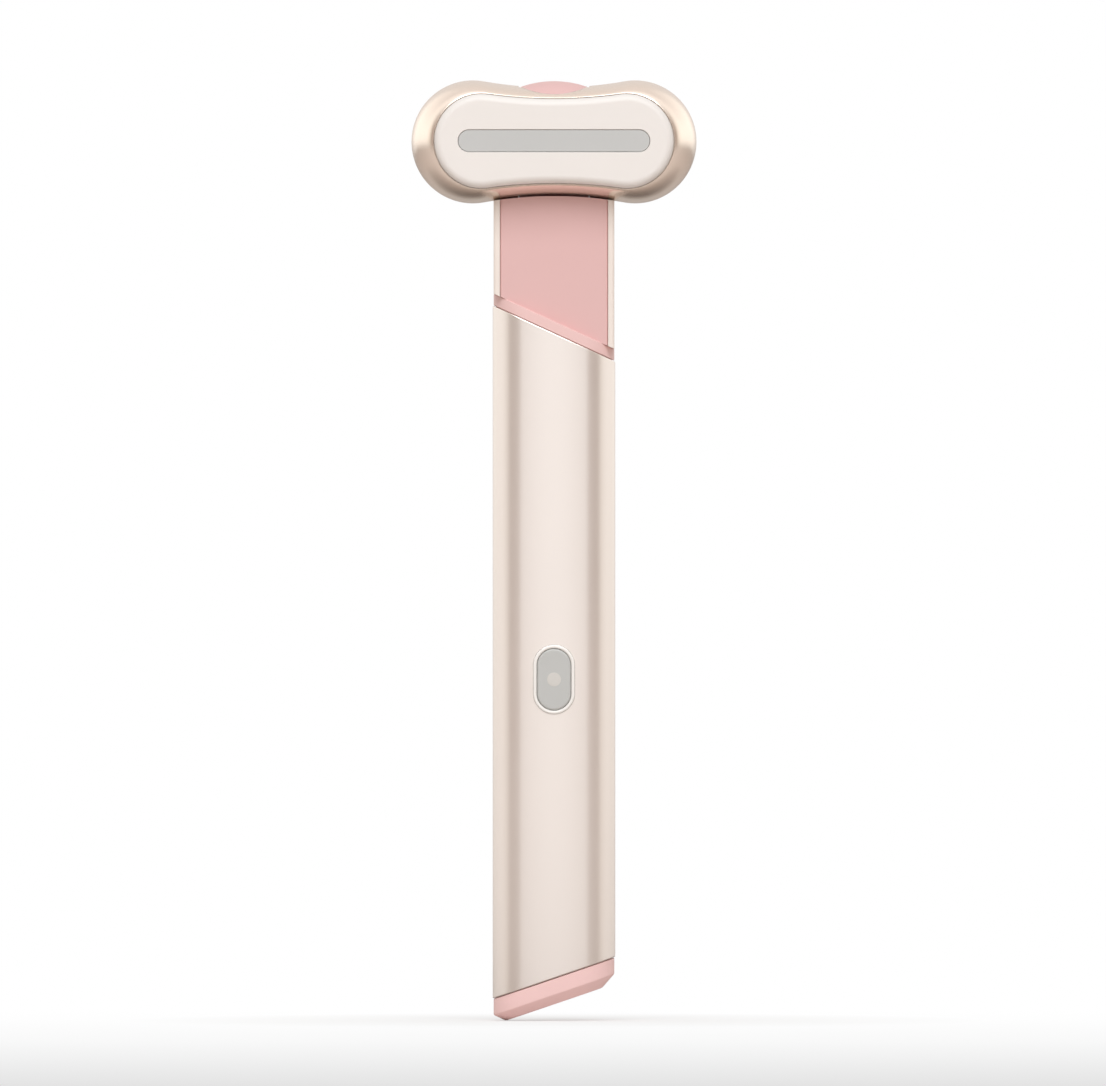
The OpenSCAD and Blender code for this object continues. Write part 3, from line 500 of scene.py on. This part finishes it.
def make_tube():
    """The extruded tube, with softened mouths and the slot for the button's bezel."""
    inner_ease = 0.15
    outer_ease = 0.2
    halfway = 0.06
    lip = [
        (TUBE_WALL, inner_ease), (TUBE_WALL - inner_ease, 0), (outer_ease, 0), (halfway, halfway),
        (0, outer_ease),
    ]
    rings = [slanted_ring(inset, FOOT_Z, FOOT_SLANT, rise) for inset, rise in lip]
    rings += [slanted_ring(inset, MOUTH_Z, -MOUTH_SLANT, -rise) for inset, rise in reversed(lip)]
    tube = build("tube_skin", *loft(rings, round_trip=True))
    room = 2 * (BUTTON_GAP + BEZEL_W) + SLOT_ROOM
    outline = stadium(BUTTON_W + room, BUTTON_H + room)
    slot = [[(x, y, BUTTON_Z + z) for x, z in outline] for y in (-HALF_D - 1, -HALF_D + 3)]
    cut(tube, build("slot_cutter", *loft(slot)))
    smooth(tube)
    wear(tube, champagne, "handle", "champagne_anodised", "handle_tube")


def plug_profile(plug_len):
    """A plug, the seam it leaves at the tube's end, and the first edge of the band outside: (inset, rise)."""
    return [
        (PLUG_INSET, -plug_len), (PLUG_INSET, 0.02), (GAP_INSET, 0.04), (GAP_INSET, SEAM_GAP),
        (BAND_STEP + 0.08, SEAM_GAP + 0.01), (BAND_STEP, SEAM_GAP + 0.1),
    ]


def make_collar():
    """The slanted collar between tube and neck, a hair above the tube's mouth."""
    top = COLLAR_H
    profile = plug_profile(5.0) + [
        (BAND_STEP, top - 0.25), (BAND_STEP + 0.03, top - 0.12), (BAND_STEP + 0.12, top - 0.03),
        (BAND_STEP + 0.25, top),
    ]
    rings = [slanted_ring(inset, MOUTH_Z, -MOUTH_SLANT, rise) for inset, rise in profile]
    collar = build("collar_skin", *loft(rings))
    smooth(collar)
    wear(collar, light_pink, "handle", "light_pink_plastic", "collar")


def make_end_cap():
    """The slanted end cap with its bevelled foot and the charging port."""
    bevel_z = CAP_BEVEL_Z - FOOT_Z
    floor_z = CAP_FLOOR_Z - FOOT_Z
    run = CAP_BEVEL_IN
    profile = [(inset, -rise) for inset, rise in plug_profile(4.0)] + [
        (BAND_STEP, bevel_z + 0.18), (BAND_STEP + 0.04, bevel_z), (BAND_STEP + 0.14, bevel_z - 0.15),
        (BAND_STEP + run - 0.18, floor_z + 0.2), (BAND_STEP + run, floor_z + 0.06),
        (BAND_STEP + run + 0.2, floor_z),
    ]
    rings = [slanted_ring(inset, FOOT_Z, FOOT_SLANT, rise) for inset, rise in profile]
    cap = build("end_cap_skin", *loft(rings))
    socket_low, socket_high = box_mm("usb_socket")
    port_y = (socket_low[1] + socket_high[1]) / 2
    lean = math.atan(FOOT_SLANT)
    outline = stadium(PORT_W, PORT_H)
    rings = []
    for depth in (-2.0, 12.0):
        rings.append([
            (x * math.cos(lean) - depth * math.sin(lean), port_y + y,
             CAP_FLOOR_Z + x * math.sin(lean) + depth * math.cos(lean))
            for x, y in outline
        ])
    cut(cap, build("port_cutter", *loft(rings)))
    smooth(cap)
    wear(cap, light_pink, "handle", "light_pink_plastic", "end_cap")


# ---- Neck ----

def saddle_z(x):
    """Height of the neck's saddle at x, a gap below the head."""
    return HINGE_Z - bone_height(x) - SADDLE_GAP


def collar_z(x):
    """Height of the collar's top at x."""
    return COLLAR_TOP_Z - MOUTH_SLANT * x


def make_neck_core():
    """The pink panel, the stem and the crowned knuckle."""
    half = NECK_HALF_W - RAIL_W - 0.05
    back_y = NECK_HALF_D - COVER_T - 0.05
    ease = 0.18
    rings = []
    for x in [-half] + spread(-half + ease, half - ease, 40) + [half]:
        front = PANEL_Y + (ease if abs(x) == half else 0)
        low = collar_z(x) - LAP
        high = saddle_z(x)
        rings.append([(x, front, low), (x, back_y, low), (x, back_y, high), (x, front, high)])
    # the stem's sizes are given from the hinge axis
    stem_half = SLOT_X - 0.04
    stem_front = 0.02 - (NECK_HALF_D - HINGE_Y)
    stem_low = -12.0
    stem_high = -4.0
    stem = block(-stem_half, stem_half, stem_front, back_y - HINGE_Y, stem_low, stem_high)
    edge_x = KNUCKLE_HALF - KNUCKLE_EDGE
    turn = math.degrees(math.asin(edge_x / (KNUCKLE_CROWN - KNUCKLE_EDGE)))
    crown_at = KNUCKLE_R - KNUCKLE_CROWN
    edge_at = crown_at + (KNUCKLE_CROWN - KNUCKLE_EDGE) * math.cos(math.radians(turn))
    profile = (
        [(HUB_R, -KNUCKLE_HALF)]
        + arc(edge_at, -edge_x, KNUCKLE_EDGE, -90, -turn, 8)
        + arc(crown_at, 0, KNUCKLE_CROWN, -turn, turn, 24)
        + arc(edge_at, edge_x, KNUCKLE_EDGE, turn, 90, 8, True)
        + [(HUB_R, KNUCKLE_HALF)]
    )
    disc = loft([
        [(x, HINGE_Y + r * math.cos(a), HINGE_Z + r * math.sin(a))
         for a in [math.radians(t) for t in spread(0, 360, 160)[:-1]]]
        for r, x in profile
    ])
    core = build("neck_core_skin", *join(loft(rings), stem, disc))
    smooth(core)
    wear(core, pink, "handle", "pink_plastic", "neck_core")


def cover_pairs():
    """Outer and inner points of the cover's left half, from the rail's front to the middle of the back."""
    inner_x = NECK_HALF_W - RAIL_W
    inner_y = NECK_HALF_D - COVER_T
    front_r = 0.4
    back_r = 3.4
    turn_y = NECK_HALF_D - back_r
    rail_steps = 6
    pairs = []
    for outer, y in zip(
        arc(-NECK_HALF_W + front_r, -NECK_HALF_D + front_r, front_r, 270, 180, rail_steps, True),
        spread(-NECK_HALF_D, -NECK_HALF_D + front_r, rail_steps),
    ):
        pairs.append((outer, (-inner_x, y)))
    for y in spread(-NECK_HALF_D + front_r, turn_y, rail_steps)[1:]:
        pairs.append(((-NECK_HALF_W, y), (-inner_x, y)))
    corner_steps = 16
    for i, outer in enumerate(arc(-NECK_HALF_W + back_r, turn_y, back_r, 180, 90, corner_steps, True)[1:], 1):
        share = 2 * i / corner_steps
        if share <= 1:
            inner = (-inner_x, turn_y + (inner_y - turn_y) * share)
        else:
            inner = (-inner_x + (inner_x - NECK_HALF_W + back_r) * (share - 1), inner_y)
        pairs.append((outer, inner))
    for x in spread(-NECK_HALF_W + back_r, 0, 12)[1:]:
        pairs.append(((x, NECK_HALF_D), (x, inner_y)))
    return pairs


def make_neck_cover():
    """The cream cover round the neck's back, whose front edges are the two rails."""
    left = cover_pairs()
    right = [((-a[0], a[1]), (-b[0], b[1])) for a, b in reversed(left[:-1])]
    rings = []
    for (ox, oy), (ix, iy) in left + right:
        rings.append([
            (ox, oy, collar_z(ox) - LAP), (ix, iy, collar_z(ix) - LAP),
            (ix, iy, saddle_z(ix)), (ox, oy, saddle_z(ox)),
        ])
    cover = build("neck_cover_skin", *loft(rings))
    cut(cover, build("knuckle_cutter", *cylinder_x(-SLOT_X, SLOT_X, KNUCKLE_R + 0.15)))
    round_edges(cover, 0.12, 50)
    smooth(cover)
    wear(cover, cream, "handle", "cream_plastic", "neck_back_cover")


# ---- Head ----

HEAD = (LOBE_X, LOBE_R, WAIST)
OPENING = (PLATE_LOBE_X, PLATE_LOBE_R + RIM_GAP, PLATE_WAIST + RIM_GAP)
PLATE = (PLATE_LOBE_X, PLATE_LOBE_R, PLATE_WAIST)


def shell_profile(inset):
    """Half heights of the head along X from the knuckle's slot to the lobe's end, as (x, radius)."""
    arc_r = waist_arc(*HEAD)
    lean = math.degrees(math.atan(LOBE_X / (WAIST + arc_r)))
    tangent_x = arc_r * math.sin(math.radians(lean))
    ease = 0.5
    points = []
    for x in spread(SLOT_X + ease, tangent_x, 12)[:-1]:
        points.append((x, bone_height(x) - inset))
    points += arc(LOBE_X, 0, LOBE_R - inset, 90 + lean, 0, 56, True)
    start_r = points[0][1]
    rounded = []
    for a in spread(0, 90, 6)[:-1]:
        turn = math.radians(a)
        rounded.append((SLOT_X + ease * (1 - math.cos(turn)), start_r - ease * (1 - math.sin(turn))))
    return rounded + points


def make_shell(name, side, node):
    """One rounded back shell: the dog-bone turned about the hinge axis, then straight to the seam."""
    path = [(inset, back - SEAM_FRONT, -90) for inset, back in SEAM_EDGE]
    path += [(0, 0, a) for a in spread(-90, 90, 72)]
    path += [(inset, back - SEAM_FRONT, 90) for inset, back in reversed(SEAM_EDGE)]
    columns = []
    for inset, y, angle in path:
        a = math.radians(angle)
        columns.append([
            (side * x, HINGE_Y + y + r * math.cos(a), HINGE_Z + r * math.sin(a))
            for x, r in shell_profile(inset)
        ])
    points, faces = loft(columns, closed=False, caps=False)
    count = len(columns[0])
    last = (len(columns) - 1) * count
    for i in range(count - 1):
        faces.append((i, i + 1, last + i + 1, last + i))
    faces.append(tuple(k * count for k in range(len(columns))))
    shell = build(name, points, faces)
    smooth(shell)
    wear(shell, gold, "head", "champagne_gold", node)


def rim_ring(share, front):
    """A ring of the rim between the head's outline (share 0) and the plate's opening (share 1) or within."""
    outline = [
        (a[0] + (b[0] - a[0]) * share, a[1] + (b[1] - a[1]) * share)
        for a, b in zip(bone(*HEAD), bone(*OPENING))
    ]
    return on_face(outline, front)


def make_rim():
    """The convex rim with its crest, the scoop in its top edge and the slot for the knuckle."""
    reach = 1.2             # the crest is an ellipse that would come down past the opening, at this share
    last = math.degrees(math.acos(1 - 1 / reach))
    rise = (RIM_FRONT - SEAM_FRONT) / math.sin(math.radians(last))
    seam_free = 0.3
    profile = [(0.05, SEAM_FRONT + 0.06), (0.012, SEAM_FRONT + 0.1), (0, SEAM_FRONT + 0.22)]
    for a in spread(0, last, 30)[1:-1]:
        turn = math.radians(a)
        if rise * math.sin(turn) > seam_free:
            profile.append((reach * (1 - math.cos(turn)), SEAM_FRONT + rise * math.sin(turn)))
    profile += [(0.985, RIM_FRONT - 0.02), (1.0, RIM_FRONT - 0.09)]
    # the ledge under the plate, and the inner wall back to the seam
    profile += [(1, LEDGE_FRONT), (1.9, LEDGE_FRONT), (1.9, LEDGE_FRONT - 1), (0.8, LEDGE_FRONT - 1),
                (0.4, SEAM_FRONT + 1.5), (0.4, SEAM_FRONT + 0.06)]
    rim = build("rim_skin", *loft([rim_ring(*p) for p in profile], round_trip=True))
    slot_r = KNUCKLE_R + 0.3
    slot_front = -6.6       # from the hinge axis
    slot_back = 6
    past = 12               # a height past the head on both sides
    scoop_z = WAIST - SCOOP_DEPTH + SCOOP_R
    scoop = loft([on_face([(x, scoop_z + z) for x, z in arc(0, 0, SCOOP_R, 0, 360, 180)], front)
                  for front in (0, HEAD_FRONT)])
    cut(
        rim,
        build("slot_round", *cylinder_x(-SLOT_X, SLOT_X, slot_r)),
        build("slot_block", *block(-SLOT_X, SLOT_X, slot_front, slot_back, -past, past)),
        build("scoop", *scoop),
    )
    round_edges(rim, 0.1, 50, 2)
    smooth(rim)
    wear(rim, gold, "head", "champagne_gold", "head_rim")


def make_plate():
    """The pale treatment plate with its rounded edge and the window's slot."""
    edge = 1.2
    edge_front = HEAD_FRONT - edge
    rings = []
    for a in reversed(spread(0, 90, 16)):
        turn = math.radians(a)
        outline = bone(*PLATE, edge * (1 - math.cos(turn)))
        rings.append(on_face(outline, edge_front + edge * math.sin(turn)))
    rings.append(on_face(bone(*PLATE), LEDGE_FRONT + 0.4))
    plate = build("plate_skin", *loft(rings))
    outline = stadium(WINDOW_W + 0.1, WINDOW_H + 0.1)
    slot = loft([on_face(outline, front) for front in (LEDGE_FRONT - 2, HEAD_FRONT + 1)])
    cut(plate, build("window_cutter", *slot))
    round_edges(plate, 0.12, 60, 3)
    smooth(plate)
    wear(plate, plate_pale, "head", "pale_plate", "face_plate")


def make_window():
    """The grey diffuser, sunk a little in the plate's slot, with a softened edge."""
    front = HEAD_FRONT - 0.1
    rings = [
        on_face(stadium(WINDOW_W - 0.3, WINDOW_H - 0.3), front),
        on_face(stadium(WINDOW_W - 0.1, WINDOW_H - 0.1), front - 0.03),
        on_face(stadium(WINDOW_W, WINDOW_H), front - 0.15),
        on_face(stadium(WINDOW_W, WINDOW_H), HEAD_FRONT - 1.4),
    ]
    window = build("window_skin", *loft(rings))
    smooth(window)
    wear(window, window_grey, "head", "grey_diffuser", "led_window")


# ---- Button ----

def button_ring(grow, y):
    """The button's outline grown by a distance, at depth y."""
    return [(x, y, BUTTON_Z + z) for x, z in stadium(BUTTON_W + 2 * grow, BUTTON_H + 2 * grow, 32)]


def make_button():
    """The cream bezel ring, the grey cap and the lens in its middle."""
    front = bezel_low[1]
    inner = BUTTON_GAP
    outer = BUTTON_GAP + BEZEL_W
    middle = (inner + outer) / 2
    half = BEZEL_W / 2
    rings = [button_ring(inner, bezel_high[1]), button_ring(inner, front + half)]
    for a in spread(180, 0, 12)[1:-1]:
        turn = math.radians(a)
        rings.append(button_ring(middle + half * math.cos(turn), front + half - half * math.sin(turn)))
    rings += [button_ring(outer, front + half), button_ring(outer, bezel_high[1])]
    bezel = build("bezel_skin", *loft(rings, round_trip=True))
    smooth(bezel)
    # painted light: the bezel wears a lighter copy of the cream
    wear(bezel, cream_painted_lighter, "handle", "cream_plastic", "button_bezel")

    cap_front = cap_low[1]
    edge = 0.35
    rings = [button_ring(-1.4, cap_front + 0.03), button_ring(-0.9, cap_front + 0.015)]
    for a in spread(90, 0, 8):
        turn = math.radians(a)
        rings.append(button_ring(-edge * (1 - math.cos(turn)), cap_front + edge * (1 - math.sin(turn))))
    flange = 0.6            # the flange behind the tube's wall, which keeps the cap in
    flange_front = -5.7
    rings += [button_ring(0, flange_front - 0.02), button_ring(flange, flange_front),
              button_ring(flange, flange_front + flange)]
    cap = build("button_skin", *loft(rings))
    smooth(cap, 60)
    wear(cap, button_grey, "button", "grey_button", "button_cap")

    dome = [
        (LENS_R, 0.3), (LENS_R, 0.02), (LENS_R - 0.04, 0.0), (LENS_R - 0.12, -0.01), (0.5, -0.02),
        (0.15, -0.022),
    ]
    lens_y = cap_front + 0.03
    rings = [
        [(x, lens_y + y, BUTTON_Z + z) for x, z in arc(0, 0, r, 0, 360, 64)]
        for r, y in dome
    ]
    lens = build("lens_skin", *loft(rings))
    smooth(lens)
    wear(lens, lens_pale, "button", "pale_lens", "button_lens")


# ---- Stage ----

PX = 0.16                       # millimetres per pixel of the photograph
PHOTO_W = 1106
PHOTO_MIDDLE = (553, 543)
ORIGIN_IN_PHOTO = (554, 1020.5)
CAMERA_AWAY = 4500.0
SENSOR_W = 36.0

WORLD_POWER = 1.3
SOFT_SHARE = 0.38               # share of it that matt surfaces get from in front, from the sides and above
BACK_SHARE = 0.80               # and from behind

# The floor as the part's surfaces get it: from front to back over UNDER_Y, with painted shade in a dark band
# under and behind the part, paler aside past ASIDE_X, and a painted pool of light for matt surfaces within POOL_R
# of the foot.
UNDER_Y = (-0.12, 0.26)
ASIDE_X = (0.05, 0.30)
POOL_R = (0.04, 0.14)
FLOOR_PAINTED_SHADE_UNDER = [(0.0, (0.68, 0.62, 0.57)), (0.22, (0.42, 0.35, 0.305)), (0.40, (0.23, 0.185, 0.160)),
               (0.62, (0.12, 0.10, 0.09)), (0.74, (0.26, 0.235, 0.215)), (1.0, (0.66, 0.62, 0.59))]
FLOOR_ASIDE = (0.68, 0.60, 0.555, 1)
FLOOR_PAINTED_LIGHT_POOL = (0.84, 0.80, 0.78, 1)
# The floor as the camera sees it: a glow with painted shade, greyer towards the front, from front to back over
# TONE_Y, and the matt floor that takes the real shadow, which fades out over SHADOW_R from the foot.
TONE_Y = (-0.56, 0.10)
SHADOW_R = (0.010, 0.070)
TONE_AT_FOOT = 0.55
FLOOR_PAINTED_SHADE_TONES = [(0.0, 0.76), (0.08, 0.79), (0.34, 0.878), (0.56, 0.944), (0.86, 0.99), (1.0, 1.0)]
FLOOR_MATT = (0.84, 0.83, 0.82, 1)

# The studio level with the part, from the camera's side (0) round to the back (1).
WARM = (0.27, 0.21, 0.17)
SIDE = (0.97, 0.94, 0.89)
REAR = (0.55, 0.52, 0.50)
WALLS = [(0.0, (0.90, 0.90, 0.90)), (0.045, (0.88, 0.88, 0.87)), (0.15, WARM), (0.315, WARM),
         (0.40, (0.80, 0.76, 0.69)), (0.50, SIDE), (0.82, SIDE), (0.92, REAR), (1.0, REAR)]
# The studio above the part, from the back (0) to the camera's side (1). It comes in over CEILING_RISE.
CEILING_RISE = (0.25, 0.85)
CEILING = [(0.0, (0.56, 0.53, 0.51)), (0.40, (0.60, 0.56, 0.54)), (0.50, (0.72, 0.68, 0.65)),
           (0.62, (0.80, 0.78, 0.76)), (0.80, (0.90, 0.90, 0.89)), (1.0, (0.90, 0.90, 0.90))]
HORIZON = (-0.12, 0.02)
BELOW_SHARE = 0.35              # the light's share below the horizon
BEHIND = (0.0, 0.7)             # where matt surfaces go over from SOFT_SHARE to BACK_SHARE
BACKDROP = (0.990, 0.998)       # where metal and glass show the white backdrop, straight behind the part


def make_camera(scene):
    """Straight on, from far away."""
    lens = bpy.data.cameras.new("camera")
    lens.sensor_width = SENSOR_W
    lens.lens = SENSOR_W * CAMERA_AWAY / (PHOTO_W * PX)
    lens.clip_start = 0.1
    lens.clip_end = 50
    eye = bpy.data.objects.new("camera", lens)
    x = (PHOTO_MIDDLE[0] - ORIGIN_IN_PHOTO[0]) * PX
    z = (ORIGIN_IN_PHOTO[1] - PHOTO_MIDDLE[1]) * PX
    eye.location = (x * MM, -CAMERA_AWAY * MM, z * MM)
    eye.rotation_euler = (math.radians(90), 0, 0)
    scene.collection.objects.link(eye)
    scene.camera = eye


def floor_material():
    """The floor's two looks, one for the camera, with painted shade, and one for the light that it gives the part,
    with painted shade and a painted pool of light.
    """
    material, graph = node_material("floor")
    place = graph.add("ShaderNodeNewGeometry").outputs["Position"]
    parts = graph.add("ShaderNodeSeparateXYZ", {"Vector": place}).outputs
    path = graph.add("ShaderNodeLightPath").outputs
    away = graph.add("ShaderNodeVectorMath", {0: place}, operation="LENGTH").outputs["Value"]

    # painted shade and light: a dark band under and behind the part, and a pool of light at its foot, painted into
    # the floor's colour
    under = graph.ramp(graph.span(parts["Y"], *UNDER_Y), FLOOR_PAINTED_SHADE_UNDER, "LINEAR")
    aside = graph.span(graph.maths("ABSOLUTE", parts["X"]), *ASIDE_X)
    painted_pool = graph.maths("MULTIPLY", graph.span(away, *POOL_R, 1.0, 0.0), path["Is Diffuse Ray"])
    shader = graph.nodes["Principled BSDF"]
    graph.fill(shader, {
        "Base Color": graph.mix(painted_pool, graph.mix(aside, under, FLOOR_ASIDE), FLOOR_PAINTED_LIGHT_POOL),
        "Roughness": 0.9,
        "Specular IOR Level": 0.1,
    })

    # painted shade: the glowing floor is painted darker towards the front
    painted_tone = graph.ramp(graph.span(parts["Y"], *TONE_Y), FLOOR_PAINTED_SHADE_TONES, "LINEAR")
    glow = graph.add("ShaderNodeEmission", {"Color": painted_tone}).outputs["Emission"]
    matt = graph.add("ShaderNodeBsdfDiffuse", {"Color": FLOOR_MATT}).outputs["BSDF"]
    seen = graph.mix_shader(graph.span(away, *SHADOW_R, TONE_AT_FOOT, 1.0), matt, glow)
    surface = graph.mix_shader(path["Is Camera Ray"], shader.outputs["BSDF"], seen)
    graph.put(graph.nodes["Material Output"].inputs["Surface"], surface)
    return material


def make_floor(scene):
    """A pale floor: white behind the part, with painted shade a little greyer in front, and with the part's shadow
    on it.
    """
    mesh = bpy.data.meshes.new("floor")
    reach = 1.6
    corners = [(-reach, -reach, 0), (reach, -reach, 0), (reach, reach, 0), (-reach, reach, 0)]
    mesh.from_pydata(corners, [], [(0, 1, 2, 3)])
    mesh.materials.append(floor_material())
    floor = bpy.data.objects.new("floor", mesh)
    scene.collection.objects.link(floor)


def make_world(scene):
    """White to the camera. To the part it is a studio: pale in front and at the sides, warm and darker
    between them, with a ceiling that is paler in front, and dim below the horizon."""
    world = bpy.data.worlds.new("world")
    scene.world = world
    world.use_nodes = True
    graph = Graph(world.node_tree)
    way = graph.add("ShaderNodeTexCoord").outputs["Generated"]
    parts = graph.add("ShaderNodeSeparateXYZ", {"Vector": way}).outputs
    path = graph.add("ShaderNodeLightPath").outputs
    front = graph.maths("MULTIPLY", parts["Y"], -1.0)

    turn = graph.maths("ABSOLUTE", graph.maths("ARCTAN2", parts["X"], front))
    walls = graph.ramp(graph.span(turn, 0.0, math.pi), WALLS)
    ceiling = graph.ramp(graph.span(front, -1.0, 1.0), CEILING)
    level = graph.span(parts["Z"], *HORIZON, BELOW_SHARE, 1.0)
    soft = graph.span(parts["Y"], *BEHIND, WORLD_POWER * SOFT_SHARE, WORLD_POWER * BACK_SHARE)
    power = graph.span(path["Is Diffuse Ray"], 0.0, 1.0, WORLD_POWER, soft)
    light = graph.nodes["Background"]
    graph.fill(light, {
        "Color": graph.mix(graph.span(parts["Z"], *CEILING_RISE), walls, ceiling),
        "Strength": graph.maths("MULTIPLY", level, power),
    })

    # the white backdrop: all that the camera sees, and its share of what metal and glass show
    white = graph.add("ShaderNodeBackground", {"Color": (1, 1, 1, 1), "Strength": 1.0})
    mirror = graph.maths("ADD", path["Is Glossy Ray"], path["Is Transmission Ray"])
    shown = graph.maths("MULTIPLY", mirror, graph.span(parts["Y"], *BACKDROP))
    seen = graph.maths("ADD", path["Is Camera Ray"], shown, clamp=True)
    surface = graph.mix_shader(seen, light.outputs["Background"], white.outputs["Background"])
    graph.put(graph.nodes["World Output"].inputs["Surface"], surface)


def area(scene, name, place, aim, size, power, colour):
    """A soft rectangular lamp at place, turned towards aim, in millimetres and watts."""
    lamp = bpy.data.lights.new(name, "AREA")
    lamp.shape = "RECTANGLE"
    lamp.size = size[0] * MM
    lamp.size_y = size[1] * MM
    lamp.energy = power
    lamp.color = colour
    obj = bpy.data.objects.new(name, lamp)
    obj.location = [v * MM for v in place]
    way = Vector([b - a for a, b in zip(place, aim)])
    obj.rotation_euler = way.to_track_quat("-Z", "Y").to_euler()
    scene.collection.objects.link(obj)


def make_stage():
    """A pale floor, a white background, soft studio light and the camera."""
    scene = bpy.context.scene
    scene.view_settings.view_transform = "Standard"
    make_camera(scene)
    make_floor(scene)
    make_world(scene)
    area(scene, "key_above", (0, -1060, 1140), (0, 0, 90), (1300, 900), 17.2, (0.94, 0.97, 1.0))


dress_nodes()
make_tube()
make_collar()
make_end_cap()
make_neck_core()
make_neck_cover()
make_shell("shell_left_skin", -1, "head_shell_left")
make_shell("shell_right_skin", 1, "head_shell_right")
make_rim()
make_plate()
make_window()
make_button()
make_stage()
